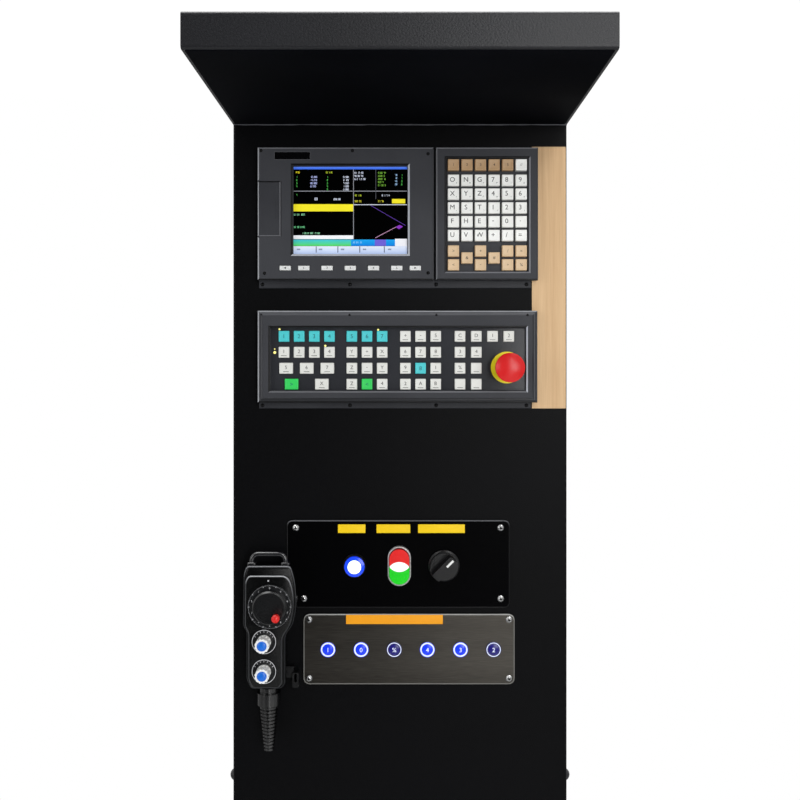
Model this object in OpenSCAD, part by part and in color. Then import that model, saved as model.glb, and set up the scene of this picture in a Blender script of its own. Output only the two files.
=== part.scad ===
// Free-standing operator console with a control unit, an operator panel, two button plates and a hand pendant.
// Millimetres, +Z up, the front faces -Y, the origin is on the floor at the centre of the floor anchors.

/* [Cabinet] */
// Width of the cabinet and of the hood
cabinet_w = 482; // [400:1:640]
// Depth of the cabinet with its rear door
cabinet_d = 400; // [330:1:600]
// Height from the floor to the top of the hood
total_h = 1668; // [1380:1:2000]
// Thickness of the folded sheet
sheet_t = 2; // [1.5:0.1:3]
// Outside bend radius of the folded sheet
bend_r = 4; // [3:0.5:8]
// Width of the rim around the rear opening
rim_w = 27; // [20:1:40]
// Height of the steel plate above the side bolts
bolt_drop = 139; // [80:1:220]
// Distance of the side bolts behind the front face
bolt_back = 18; // [14:1:40]
// Diameter of a side bolt's head
bolt_head_d = 17.6; // [14:0.1:22]
// Height of a side bolt's head
bolt_head_h = 7; // [5:0.1:9]
// Shank diameter of a side bolt
bolt_d = 10; // [8:0.5:12]

/* [Plinth] */
// Height of the plinth
plinth_h = 80; // [60:1:120]
// How far the plinth stands back from the cabinet
plinth_inset = 20; // [10:1:30]
// Thickness of the plinth's plate
plinth_t = 3; // [2:0.5:5]
// Distance of the floor anchors from the cabinet's sides
anchor_side = 51; // [42:1:80]
// Distance of the floor anchors from the cabinet's front and rear
anchor_back = 70; // [58:1:100]
// Diameter of a floor anchor hole
anchor_hole_d = 14; // [10:0.5:18]
// Diameter of the cable entry in the base
cable_entry_d = 60; // [40:1:80]

/* [Hood] */
// Height of the hood's fascia
hood_h = 42; // [32:1:60]
// How far the hood reaches past the front face
hood_reach = 300; // [200:1:400]

/* [Rear door] */
// Depth of the folded door
door_t = 21.5; // [16:0.5:28]
// Gap around the door
door_gap = 4; // [3:0.5:6]
// Gap between the door and the rim
door_seam = 0.5; // [0.4:0.1:1]
// Diameter of a hinge knuckle
knuckle_d = 11; // [9:0.5:14]
// Length of one hinge knuckle
knuckle_h = 32; // [24:1:48]
// Thickness of a hinge leaf
leaf_t = 2.5; // [2:0.1:3]
// Length of a hinge leaf
leaf_l = 34; // [26:1:44]
// Distance of the outer hinges from the ends of the door
hinge_end = 160; // [100:1:260]
// Diameter of a hinge pin
pin_d = 6; // [5:0.5:7]
// Running clearance on the radius of pins, shafts and plungers
run_gap = 0.1; // [0.06:0.02:0.2]
// Height of the door lock above the middle of the door
lock_rise = 17; // [-100:1:100]
// Diameter of the lock's head
lock_d = 28; // [25:0.5:34]
// Diameter of the lock's barrel
barrel_d = 22; // [18:0.5:24]
// Side of a vent grille
grille_w = 160; // [120:1:200]
// Depth of a vent grille
grille_d = 9; // [7:0.5:12]
// Width of a vent grille's frame
grille_rim = 12; // [8:0.5:16]
// Distance of the lower grille from the foot of the door
grille_low = 220; // [160:1:300]
// Distance of the upper grille from the top of the door
grille_high = 280; // [200:1:360]

/* [Control unit] */
// Distance of the control unit from the cabinet's left side
unit_left_gap = 38; // [28:0.5:60]
// Distance of the control unit from the cabinet's right side
unit_right_gap = 44; // [30:0.5:70]
// Distance of the control unit's bezels below the hood
unit_drop = 37; // [20:0.5:80]
// Height of the bezels
unit_h = 189; // [160:0.5:230]
// Thickness of the mounting flanges
flange_t = 3; // [2:0.5:4]
// Height of the flange strip that shows below the control unit
flange_lip = 11; // [9:0.5:14]
// How far the flange ends short of the bezel on the right
flange_short = 8; // [6:0.5:10]
// Thickness of the bezels
bezel_t = 11; // [9:0.5:14]
// Chamfer on the bezels' front edges
bezel_chamfer = 1.5; // [0.8:0.1:2]
// Gap between the display bezel and the keypad bezel
bezel_gap = 3.4; // [2:0.1:5]
// Width of the keypad bezel as a share of the control unit
keypad_share = 0.364; // [0.3:0.002:0.43]
// Depth of the control unit's case behind the flange
unit_case_d = 90; // [60:1:110]
// Distance of the screen recess from the display bezel's left edge
screen_left = 47; // [42:0.5:60]
// Distance of the screen recess from the display bezel's right edge
screen_right = 34; // [20:0.5:45]
// Distance of the screen recess from the bezel's top
screen_top = 23; // [16:0.5:30]
// Distance of the screen recess from the bezel's foot
screen_foot = 34; // [28:0.5:44]
// Bevel around the screen
screen_bevel = 3.4; // [2:0.2:4]
// Depth of the screen behind the bezel's face
screen_sink = 6; // [4:0.5:7]
// Width of a soft key
soft_w = 16.8; // [14:0.2:20]
// Height of a soft key
soft_h = 7.3; // [6:0.1:9]
// Height of the soft keys above the bezel's foot
soft_rise = 17; // [12:0.5:22]
// How far the soft keys stand out of the bezel
soft_out = 1.6; // [1:0.1:2.5]
// Spacing of the soft keys as a share of the screen recess
soft_share = 0.195; // [0.17:0.005:0.2]
// Width of the card door
card_w = 33; // [27:0.5:39]
// Height of the card door
card_h = 79; // [64:1:94]
// Thickness of the card door
card_t = 2.5; // [2:0.1:3]
// Height of the card door above the middle of the bezel
card_rise = 7; // [0:0.5:14]
// Diameter of the card door's pivot
card_pin_d = 2; // [1.5:0.1:2.4]
// Gap around keys and small doors
key_gap = 0.3; // [0.2:0.05:0.5]

/* [Keypad] */
// Distance of the keypad recess from the bezel's left edge
pad_left = 14.1; // [8:0.1:20]
// Distance of the keypad recess from the bezel's right edge
pad_right = 13.3; // [8:0.1:20]
// Distance of the keypad recess from the bezel's top
pad_top = 13; // [8:0.1:18]
// Distance of the keypad recess from the bezel's foot
pad_foot = 10.6; // [8:0.1:18]
// Depth of the keypad recess
pad_sink = 5; // [3:0.5:6]
// Bevel around the keypad recess
pad_bevel = 2.5; // [1.5:0.1:3]
// Width of a key as a share of the column spacing
key_share = 0.8475; // [0.7:0.0025:0.9]
// Height of a key as a share of the row spacing
key_tall = 0.8333; // [0.7:0.0001:0.9]
// Room left over beside the key columns
pad_room = 0.1; // [0.1:0.1:2]
// Room above the top key row
pad_room_top = 1.1; // [0.4:0.1:2]
// Room below the last key row
pad_room_foot = 0.3; // [0.2:0.1:2]
// Extra gap below the top key row
top_row_gap = 2.32; // [0:0.02:4]
// Extra gap above the bottom key block
foot_row_gap = 2.52; // [0:0.02:4]
// Height of a key above the recess floor
key_t = 7; // [5:0.5:9]
// Corner radius of a key
key_r = 1.6; // [1:0.1:2]
// Width and height of the step around a key's top
key_step = 0.9; // [0.5:0.1:1.2]

/* [Operator panel] */
// Distance of the operator panel below the control unit's flange
panel_gap = 33; // [20:0.5:60]
// Height of the operator panel's bezel
panel_h = 131; // [115:0.5:160]
// Height of the flange strip that shows below the operator panel
panel_lip = 9; // [7:0.5:12]
// How far the operator panel ends short of the control unit on the right
panel_short = 1; // [0:0.5:4]
// Distance of the window from the bezel's left edge
window_left = 16; // [12:0.1:20]
// Distance of the window from the bezel's right edge
window_right = 14.4; // [12:0.1:20]
// Distance of the window from the bezel's top
window_top = 22.45; // [16:0.05:28]
// Distance of the window from the bezel's foot
window_foot = 15.05; // [10:0.05:20]
// Bevel around the window
window_bevel = 2.5; // [1.5:0.1:3]
// Thickness of the overlay plate in the window
overlay_t = 4; // [3:0.5:5]
// Distance of the first key column from the window's left edge
op_edge_left = 20.8; // [15:0.1:26]
// Distance of the last key column from the window's right edge
op_edge_right = 25.8; // [20:0.1:32]
// Distance of the top key row from the window's top
op_edge_top = 13.85; // [11:0.05:17]
// Distance of the bottom key row from the window's foot
op_edge_foot = 11.03; // [10.6:0.01:14]
// Column distance from the first to the second key group
op_gap_1 = 32.1; // [25:0.1:38]
// Column distance from the second to the third key group
op_gap_2 = 33.3; // [25:0.1:40]
// Column distance from the third to the fourth key group
op_gap_3 = 34.8; // [26:0.1:42]
// Width of an operator key as a share of the column spacing
op_key_share = 0.71; // [0.6:0.01:0.8]
// Width of a wide operator key as a share of the column spacing
op_wide_share = 0.903; // [0.85:0.001:0.98]
// Height of an operator key as a share of the row spacing
op_tall_share = 0.691; // [0.6:0.001:0.75]
// Height of an operator key above the overlay
op_key_t = 4; // [3:0.5:5]
// Depth of the operator panel's case behind the flange
panel_case_d = 35; // [20:1:60]

/* [Emergency stop] */
// Distance of the emergency stop's axis from the window's right edge
estop_edge = 28.6; // [26:0.1:32]
// Drop of the emergency stop below the window's middle as a share of its height
estop_low = 0.1262; // [0.1:0.0001:0.14]
// Diameter of the yellow disc
estop_disc_d = 45.5; // [38:0.5:48]
// Thickness of the yellow disc
estop_disc_t = 3; // [2:0.5:4]
// Diameter of the red head
estop_head_d = 41; // [34:0.5:46]
// Height of the head's face above the disc
estop_rise = 45; // [38:0.5:52]
// Diameter of the emergency stop's plunger
estop_plunger_d = 12; // [10:0.5:14]
// Push travel of the emergency stop
estop_travel = 4; // [3:0.1:4.8]

/* [Trim strip] */
// Distance of the trim strip from the cabinet's edge
strip_edge = 2; // [1:0.5:6]
// Gap between the trim strip and the flanges
strip_gap = 1.2; // [0.8:0.1:3]
// How far the trim strip reaches above the control unit
strip_over = 4; // [0:0.5:12]
// Thickness of the trim strip
strip_t = 1.5; // [1:0.1:2]

/* [Button plate] */
// Distance of the button plate below the operator panel's flange
plate_gap = 161; // [80:1:220]
// Distance of the button plate from the cabinet's left side
plate_left_gap = 78; // [60:0.5:100]
// Distance of the button plate from the cabinet's right side
plate_right_gap = 83; // [60:0.5:100]
// Height of the button plate
plate_h = 126; // [108:0.5:150]
// Thickness of both button plates
plate_t = 3; // [2:0.5:4]
// Corner radius of both button plates
plate_r = 9.5; // [6:0.5:12]
// Spacing of the three switches as a share of the plate's width
switch_share = 0.2; // [0.18:0.005:0.24]
// How far the switches are set to the right of the plate's middle
switch_shift = 1.5; // [-6:0.5:6]
// How far the switches are set below the plate's middle
switch_low = 2; // [0:0.5:6]
// Diameter of the mounting thread of a switch
switch_d = 22; // [20:0.5:25]
// Diameter of the nut behind a switch
nut_d = 29; // [27:0.5:32]
// Width of a contact block
contact_w = 30; // [24:0.5:34]
// Height of a contact block
contact_h = 44; // [36:0.5:52]
// Depth of a contact block
contact_d = 38; // [30:0.5:48]
// Diameter of the lamp button's housing
lamp_d = 34.5; // [32:0.5:38]
// Diameter of the lamp button's lens
lens_d = 28.7; // [25:0.1:29.5]
// Diameter of the lamp button's stem
lamp_stem_d = 12; // [9:0.5:14]
// Width of the twin button's housing
twin_w = 33.6; // [32:0.2:38]
// Height of the twin button's housing
twin_h = 57; // [54:0.5:64]
// Width of the rim around the twin button's actuators
twin_rim_x = 2.6; // [2:0.1:4]
// Height of the rim above and below the twin button's actuators
twin_rim_z = 3.5; // [2.6:0.1:5]
// Diameter of a twin button's guide stem
twin_stem_d = 3; // [2.4:0.1:3.4]
// Height of the twin button's lens
twin_lens_h = 14; // [10:0.5:15]
// Diameter of the selector
selector_d = 45; // [38:0.5:50]
// Diameter of the selector's shaft
selector_shaft_d = 10; // [8:0.5:12]
// Height of the selector's grip
grip_h = 15; // [10:0.5:20]
// Width of the selector's grip
grip_bar_w = 13; // [10:0.5:16]
// Press travel of the lamp button and of the twin button
press_travel = 4; // [3:0.1:5]
// Height of the label tags
tag_h = 13.6; // [11:0.2:14.5]
// Thickness of the label tags
tag_t = 0.8; // [0.5:0.1:1]
// Width of the long tag as a share of the steel plate
long_tag_share = 0.46; // [0.3:0.01:0.6]

/* [Steel plate] */
// Gap between the button plate and the steel plate
steel_gap = 9; // [5:0.5:30]
// Distance of the steel plate from the cabinet's left side
steel_left_gap = 102; // [96:0.5:120]
// Distance of the steel plate from the cabinet's right side
steel_right_gap = 76; // [50:0.5:100]
// Height of the steel plate
steel_h = 101; // [84:0.5:130]
// Distance of the first ring button from the plate's left edge
ring_left = 35.5; // [24:0.5:45]
// Distance of the last ring button from the plate's right edge
ring_right = 30.5; // [24:0.5:45]
// Diameter of a ring button's head
ring_d = 22; // [20.5:0.2:26]
// Diameter of a ring button's actuator
ring_cap_d = 15.6; // [13:0.2:16.4]
// Diameter of a ring button's thread
ring_thread_d = 19; // [18:0.2:20]
// Diameter over the corners of a ring button's nut
ring_nut_d = 25; // [23:0.5:28]
// Press travel of a ring button
ring_travel = 1.5; // [1:0.1:2]

/* [Fasteners] */
// Head diameter of a plate screw
screw_head_d = 9.5; // [8:0.1:11]
// Head height of a plate screw
screw_head_h = 2.6; // [2:0.1:3.2]
// Shank diameter of a plate screw
screw_d = 5; // [4:0.1:6]
// Diameter over the corners of a plate screw's nut
screw_nut_d = 9; // [8:0.1:11]
// Clearance on the diameter of a through hole
hole_gap = 0.4; // [0.2:0.1:0.6]
// Head diameter of a small panel screw
small_head_d = 5.6; // [4.6:0.1:6.6]
// Shank diameter of a small panel screw
small_screw_d = 3; // [2.5:0.1:3.6]

/* [Pendant] */
// Distance of the pendant's middle from the steel plate
pendant_gap = 47; // [46:0.5:56]
// Height of the pendant's foot above the foot of the steel plate
pendant_rise = 5; // [0:0.5:12]
// Height of the pendant's body
pendant_h = 172; // [146:0.5:200]
// Width of the pendant's head
head_w = 68; // [60:0.5:70]
// How much narrower the grip is than the head
grip_narrow = 14; // [8:0.5:18]
// How far the grip is set to the left of the head
grip_shift = 2.5; // [0:0.5:4]
// Thickness of the pendant's body
pendant_t = 33; // [28:0.5:40]
// Thickness of the pendant's holder
holder_t = 7; // [5:0.5:10]
// Distance of the hanger loop from the head's edges
loop_edge = 6; // [4:0.5:9]
// Height of the hanger loop
loop_h = 18; // [15:0.5:24]
// Thickness of the hanger loop
loop_t = 9; // [7:0.5:12]
// Width of the hanger loop's uprights
loop_bar = 10.5; // [8:0.5:13]
// Height of the hanger loop's foot
loop_foot = 3; // [2:0.5:4]
// Height of the gap in the hanger loop
loop_gap_h = 9; // [7:0.5:10]
// Distance of the dial's scale ring from the head's edges
scale_edge = 3; // [2:0.5:6]
// Width of the scale ring around the dial
scale_rim = 7.5; // [6:0.5:9]
// Thickness of the dial's scale ring
scale_t = 1.6; // [1:0.1:2]
// Height of the dial
dial_h = 9; // [7:0.5:12]
// Diameter of the dial's shaft
dial_shaft_d = 10; // [8:0.5:12]
// Diameter of the spinner
spinner_d = 11; // [9:0.5:12]
// Height of the spinner
spinner_h = 15; // [12:0.5:18]
// Distance of the spinner from the dial's axis as a share of the dial
spinner_share = 0.33; // [0.28:0.01:0.34]
// Diameter of a pendant knob
knob_d = 20; // [17:0.5:22]
// Height of a pendant knob
knob_h = 20; // [16:0.5:24]
// Diameter of a knob's shaft
knob_shaft_d = 6; // [5:0.5:8]
// Diameter of a knob's scale disc
knob_scale_d = 34; // [29:0.5:36]
// Diameter of a knob's cap
cap_d = 13; // [11:0.5:14]
// Length of the grip button on the pendant's side
enable_h = 52; // [40:1:56]
// Width of the grip button
enable_w = 9; // [7:0.5:12]
// Press travel of the grip button
enable_travel = 1.5; // [1:0.1:2]
// Diameter of the gland's collar
collar_d = 33; // [28:0.5:38]
// Height of the gland's collar
collar_h = 17; // [14:0.5:20]
// Length of the gland's neck above the collar
neck_h = 7.5; // [6:0.5:10]
// Diameter of the flex boot at the collar
boot_d = 26.6; // [22:0.2:30]
// Diameter of the flex boot at its free end
boot_end_d = 14.6; // [13:0.2:18]
// Length of the flex boot
boot_h = 65; // [54:0.5:78]
// Number of ribs on the flex boot
boot_ribs = 13; // [10:1:15]
// Diameter of the cable bore in the boot
boot_bore_d = 8; // [6:0.5:9]

/* [Inside] */
// Distance of the mounting plate behind the front face
inner_back = 140; // [116:1:164]
// Thickness of the mounting plate
inner_t = 3; // [2:0.5:4]
// Depth of the mounting plate's side flanges
inner_flange = 24; // [18:1:30]
// Distance of the mounting plate above the cabinet's floor
inner_rise = 50; // [40:1:80]
// Height of the mounting plate as a share of the shell's height
inner_share = 0.5175; // [0.45:0.0005:0.6]
// Distance of the device rail below the plate's top
rail_drop = 65.055; // [64:0.005:80]
// Distance of the terminal rail above the plate's foot
terminal_rise = 185; // [170:1:220]
// Distance of the rails' ends from the cabinet's sides
rail_side = 51; // [40:1:70]
// Height of a rail
rail_h = 35; // [30:0.5:40]
// Depth of a rail
rail_t = 7.5; // [5:0.5:10]
// Width of a breaker
breaker_w = 18; // [16:0.5:20]
// Width of a terminal
terminal_w = 8; // [6:0.5:10]
// Gap between neighbours on a rail
rail_space = 0.2; // [0.1:0.1:1]
// Distance of the upper duct below the device rail
upper_duct_drop = 95; // [90:1:110]
// Distance of the middle duct above the terminal rail
middle_duct_rise = 105; // [80:1:120]
// Distance of the lower duct below the terminal rail
lower_duct_drop = 115; // [80:1:130]
// Height of a wiring duct
duct_w = 40; // [30:1:46]
// Depth of a wiring duct
duct_d = 60; // [40:1:70]
// Distance of the ducts' ends from the cabinet's sides
duct_side = 41; // [30:1:60]
// Spacing of the slots in a wiring duct
duct_pitch = 16; // [12:0.5:20]
// Width of a slot in a wiring duct
duct_slot = 5; // [4:0.5:6]
// Room for wires between a duct and the drives above it
drive_room = 40; // [20:1:60]
// Room between the drives and the duct above them
drive_room_top = 8; // [4:1:20]
// Depth of a drive
drive_d = 130; // [100:1:150]
// Spacing of the drives as a share of the cabinet's width
drive_share = 0.1826; // [0.15:0.0001:0.2]
// Gap between two drives
drive_space = 14; // [8:1:20]

/* [Hidden] */
$fn = 48;
front_y = -cabinet_d / 2;
rear_y = cabinet_d / 2;
hood_z = total_h - hood_h;
shell_back = rear_y - door_t - door_seam;
shell_h = hood_z - plinth_h;
side_x = cabinet_w / 2;
inside_x = side_x - sheet_t;
anchor_x = side_x - anchor_side;
anchor_y = rear_y - anchor_back;
hinge_x = -side_x - knuckle_d / 2 - door_seam;
door_x = side_x - sheet_t;
door_z = plinth_h + door_gap;
door_h = hood_z - door_gap - door_z;
hinge_zs = [door_z + hinge_end, door_z + door_h / 2, door_z + door_h - hinge_end];
lock_x = side_x - rim_w - lock_d / 2 - 10;
lock_z = door_z + door_h / 2 + lock_rise;
grille_zs = [door_z + grille_low, door_z + door_h - grille_high];
grille_open = grille_w - 2 * grille_rim;
slat_pitch = grille_open / 9.4;

flange_y = front_y - flange_t;
bezel_y = flange_y - bezel_t;
unit_w = cabinet_w - unit_left_gap - unit_right_gap;
unit_left = unit_left_gap - side_x;
unit_right = unit_left + unit_w;
unit_z = hood_z - unit_drop - unit_h / 2;
unit_foot = unit_z - unit_h / 2;
keypad_w = unit_w * keypad_share;
display_w = unit_w - keypad_w - bezel_gap;
display_x = unit_left + display_w / 2;
keypad_x = unit_right - keypad_w / 2;
flange_w = unit_w - flange_short;
flange_x = unit_left + flange_w / 2;
case_x = unit_left + 10;
case_w = flange_w - 34;
strip_x = unit_left + flange_w + strip_gap;
screen_w = display_w - screen_left - screen_right;
screen_h = unit_h - screen_top - screen_foot;
screen_x = unit_left + screen_left + screen_w / 2;
screen_z = unit_foot + screen_foot + screen_h / 2;
soft_z = unit_foot + soft_rise;
soft_pitch = screen_w * soft_share;
soft_xs = [for (i = [-2.8, -2, -1, 0, 1, 2, 2.8]) screen_x + i * soft_pitch];
card_z = unit_z + card_rise;
card_axis_x = unit_left + card_t;
card_axis_y = bezel_y + card_t;
pad_w = keypad_w - pad_left - pad_right;
pad_h = unit_h - pad_top - pad_foot;
pad_x = keypad_x + (pad_left - pad_right) / 2;
pad_z = unit_z + (pad_foot - pad_top) / 2;
pad_floor = bezel_y + pad_sink;
key_pitch_x = (pad_w - 2 * pad_bevel - pad_room) / (5 + key_share);
key_rows_h = pad_h - 2 * pad_bevel - pad_room_top - pad_room_foot - top_row_gap - foot_row_gap;
key_pitch_z = key_rows_h / (7 + key_tall);
key_w = key_share * key_pitch_x;
key_h = key_tall * key_pitch_z;
pad_top_z = pad_z + pad_h / 2 - pad_bevel - pad_room_top - key_h / 2;
pad_second = key_pitch_z + top_row_gap;
pad_block = pad_second + 5 * key_pitch_z + foot_row_gap;

panel_left = unit_left;
panel_w = unit_w - panel_short;
panel_x = panel_left + panel_w / 2;
panel_z = unit_foot - flange_lip - panel_gap - panel_h / 2;
panel_foot = panel_z - panel_h / 2;
window_w = panel_w - window_left - window_right;
window_h = panel_h - window_top - window_foot;
window_x = panel_left + window_left + window_w / 2;
window_z = panel_foot + window_foot + window_h / 2;
overlay_y = flange_y - overlay_t;
op_last_col = 3.22;
op_gaps = op_gap_1 + op_gap_2 + op_gap_3;
op_pitch_x = (window_w - op_edge_left - op_edge_right - op_gaps) / (7 + op_last_col);
op_pitch_z = (window_h - op_edge_top - op_edge_foot) / 3;
op_key_w = op_key_share * op_pitch_x;
op_wide_w = op_wide_share * op_pitch_x;
op_key_h = op_tall_share * op_pitch_z;
op_top_z = window_z + window_h / 2 - op_edge_top;
op_left_1 = window_x - window_w / 2 + op_edge_left;
op_left_2 = op_left_1 + 3 * op_pitch_x + op_gap_1;
op_left_3 = op_left_2 + 2 * op_pitch_x + op_gap_2;
op_left_4 = op_left_3 + 2 * op_pitch_x + op_gap_3;
op_left = [op_left_1, op_left_2, op_left_3, op_left_4];
estop_x = window_x + window_w / 2 - estop_edge;
estop_z = window_z - estop_low * window_h;
panel_case_x = panel_left + 16;
panel_case_w = estop_x - contact_w / 2 - 35 - panel_case_x;

plate_y = front_y - plate_t;
plate_w = cabinet_w - plate_left_gap - plate_right_gap;
plate_x = plate_left_gap - side_x + plate_w / 2;
plate_z = panel_foot - panel_lip - plate_gap - plate_h / 2;
switch_pitch = plate_w * switch_share;
twin_x = plate_x + switch_shift;
lamp_x = twin_x - switch_pitch;
selector_x = twin_x + switch_pitch;
switch_z = plate_z - switch_low;
switch_wall = 1;
press_y = plate_y - switch_wall - press_travel - 0.2;
twin_in_w = twin_w - 2 * twin_rim_x;
twin_in_h = twin_h - 2 * twin_rim_z;
twin_split_r = (pow(twin_in_w / 2, 2) + pow(twin_lens_h / 2, 2)) / twin_lens_h;
twin_split_z = twin_split_r - twin_lens_h / 2;
twin_stem_z = twin_lens_h / 2 + key_gap + twin_stem_d / 2;
tag_z = plate_z + plate_h / 2 - 12;

steel_w = cabinet_w - steel_left_gap - steel_right_gap;
steel_x = steel_left_gap - side_x + steel_w / 2;
steel_z = plate_z - plate_h / 2 - steel_gap - steel_h / 2;
steel_foot = steel_z - steel_h / 2;
ring_pitch = (steel_w - ring_left - ring_right) / 5;
ring_xs = [for (i = [0:5]) steel_x - steel_w / 2 + ring_left + i * ring_pitch];
rings_x = (ring_xs[0] + ring_xs[5]) / 2;
bolt_z = steel_foot - bolt_drop;

pendant_x = steel_x - steel_w / 2 - pendant_gap;
pendant_z = steel_foot + pendant_rise;
pendant_back = front_y - holder_t;
pendant_mid = pendant_back - pendant_t / 2;
pendant_y = pendant_back - pendant_t;
pendant_top = pendant_z + pendant_h;
grip_w = head_w - grip_narrow;
grip_top = pendant_z + pendant_h * 0.5;
loop_w = head_w - 2 * loop_edge;
scale_d = head_w - 2 * scale_edge;
dial_d = scale_d - 2 * scale_rim;
dial_x = pendant_x + 4;
dial_z = pendant_top - pendant_h * 0.32;
spinner_r = dial_d * spinner_share * 0.707;
spinner_x = dial_x + spinner_r;
spinner_z = dial_z - spinner_r;
knob_x = pendant_x - 4;
knob_zs = [pendant_z + pendant_h * 0.395, pendant_z + pendant_h * 0.154];
enable_z = pendant_top - enable_h / 2 - 16;
gland_x = pendant_x + 0.5;

inner_y = front_y + inner_back;
inner_face = inner_y + inner_t;
inner_z = plinth_h + inner_rise;
inner_h = shell_h * inner_share;
rail_z = inner_z + inner_h - rail_drop;
rail_l = cabinet_w - 2 * rail_side;
rail_y = inner_face + rail_t;
terminal_z = inner_z + terminal_rise;
duct_l = cabinet_w - 2 * duct_side;
duct_zs = [terminal_z - lower_duct_drop, terminal_z + middle_duct_rise, rail_z - upper_duct_drop];
drive_z = duct_zs[1] + duct_w / 2 + drive_room;
drive_h = duct_zs[2] - duct_w / 2 - drive_room_top - drive_z;
drive_pitch = cabinet_w * drive_share;
drive_w = drive_pitch - drive_space;

// A flat shape drawn in x and z, made solid from y towards the front
module front(y, h) {
    translate([0, y, 0]) rotate([90, 0, 0]) linear_extrude(h) children();
}

// Rounded rectangle about its centre
module rounded(w, h, r) {
    square([w - 2 * r, h], center = true);
    square([w, h - 2 * r], center = true);
    for (i = [-1, 1])
        for (j = [-1, 1])
            translate([i * (w / 2 - r), j * (h / 2 - r)]) circle(r);
}

// Rectangular block from y0 forward to y1 with its front edges chamfered by c
module chamfered(x, z, w, h, y0, y1, c) {
    intersection() {
        translate([x, 0, z - h / 2 - 1]) linear_extrude(h + 2)
            polygon([[-w / 2, y0], [w / 2, y0], [w / 2, y1 + c], [w / 2 - c, y1], [c - w / 2, y1], [-w / 2, y1 + c]]);
        translate([x - w / 2 - 1, 0, z]) rotate([90, 0, 90]) linear_extrude(w + 2)
            polygon([[y0, -h / 2], [y0, h / 2], [y1 + c, h / 2], [y1, h / 2 - c], [y1, c - h / 2], [y1 + c, -h / 2]]);
    }
}

// Recess that is w by h at y0 and narrows by c on every side at the depth d
module recess(x, z, w, h, y0, d, c) {
    m = c / d;
    intersection() {
        translate([x, 0, z - h / 2 - 5]) linear_extrude(h + 10)
            polygon([[-w / 2 - m, y0 - 1], [w / 2 + m, y0 - 1], [w / 2 - c, y0 + d], [c - w / 2, y0 + d]]);
        translate([x - w / 2 - 5, 0, z]) rotate([90, 0, 90]) linear_extrude(w + 10)
            polygon([[y0 - 1, -h / 2 - m], [y0 - 1, h / 2 + m], [y0 + d, h / 2 - c], [y0 + d, c - h / 2]]);
    }
}

// Cap of a ball with the base radius r and the height h, standing on z = 0
module dome(r, h) {
    ball = (r * r + h * h) / (2 * h);
    rotate_extrude() intersection() {
        translate([0, h - ball]) circle(ball);
        square([r + 1, h]);
    }
}

// Places children at x, y, z with their axis towards the front
module facing(x, y, z) {
    translate([x, y, z]) rotate([90, 0, 0]) children();
}

// Round bar from y towards the front
module rod(x, y, z, d, h) {
    facing(x, y, z) cylinder(d = d, h = h);
}

// Plan of the folded shell, drawn in by the given distance
module shell_plan(inset, r, back) {
    w = cabinet_w - 2 * inset;
    translate([-w / 2, front_y + inset + r]) square([w, back - front_y - inset - r]);
    translate([r - w / 2, front_y + inset]) square([w - 2 * r, r]);
    for (s = [-1, 1])
        translate([s * (w / 2 - r), front_y + inset + r]) circle(r);
}

// Screw places on the two button plates
plate_screws_at = [
    [plate_x - plate_w / 2 + 13, plate_z + plate_h / 2 - 11],
    [plate_x + plate_w / 2 - 13, plate_z + plate_h / 2 - 11],
    [plate_x + plate_w / 2 - 13, plate_z - plate_h / 2 + 13],
    [plate_x - plate_w / 2 + 24.5, plate_z - plate_h / 2 + 13]];
steel_screws_at = [for (i = [-1, 1]) for (j = [-1, 1])
    [steel_x + i * (steel_w / 2 - 8), steel_z + j * (steel_h / 2 - 8.2)]];
all_screws_at = concat(plate_screws_at, steel_screws_at);

// Screw places on the flanges below the two units
flange_screw_xs = [for (s = [0.0125, 0.3275, 0.6375, 0.9625]) unit_left + s * unit_w];
unit_screw_z = unit_foot - flange_lip / 2;
panel_screw_z = panel_foot - panel_lip / 2;

// Folded cabinet sheet with its cut-outs and the fixed hinge knuckles
module cabinet_shell() color([0.10, 0.10, 0.11]) difference() {
    union() {
        translate([0, 0, plinth_h]) linear_extrude(shell_h) difference() {
            shell_plan(0, bend_r, shell_back);
            shell_plan(sheet_t, bend_r - sheet_t / 2, shell_back - sheet_t);
            translate([rim_w - side_x, 0]) square([cabinet_w - 2 * rim_w, cabinet_d]);
        }
        for (z = hinge_zs) {
            translate([hinge_x, shell_back, z - knuckle_h]) cylinder(d = knuckle_d, h = knuckle_h);
            translate([-side_x - leaf_t, shell_back - leaf_l, z - knuckle_h])
                cube([leaf_t + sheet_t / 2, leaf_l, knuckle_h]);
        }
    }
    for (z = hinge_zs)
        translate([hinge_x, shell_back, z - knuckle_h - 1]) cylinder(d = pin_d, h = knuckle_h + 2);
    front(front_y + sheet_t + 1, sheet_t + 2) {
        translate([case_x - 3, unit_foot - 1]) square([case_w + 10, unit_h - 2]);
        translate([panel_case_x - 3, panel_foot + 7]) square([panel_w - 36, panel_h - 20]);
        translate([twin_x, switch_z]) square([2 * switch_pitch + 2.5 * contact_w, 1.86 * contact_h], center = true);
        translate([rings_x, steel_z]) square([5 * ring_pitch + ring_nut_d + 7, ring_nut_d + 21], center = true);
        for (p = all_screws_at)
            translate(p) circle(d = screw_d + hole_gap);
    }
    for (s = [-1, 1])
        translate([s * side_x, front_y + bolt_back, bolt_z]) rotate([0, 90, 0])
            cylinder(d = bolt_d + hole_gap, h = 4 * sheet_t, center = true);
}

// Outline of the hood drawn in y and z, inset by the sheet
module hood_side(inset, r) {
    y0 = front_y - hood_reach + inset;
    h = hood_h - 2 * inset;
    translate([y0 + r, hood_z + inset]) square([rear_y - inset - y0 - r, h]);
    translate([y0, hood_z + inset + r]) square([r, h - 2 * r]);
    for (z = [hood_z + inset + r, total_h - inset - r])
        translate([y0 + r, z]) circle(r);
}

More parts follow.
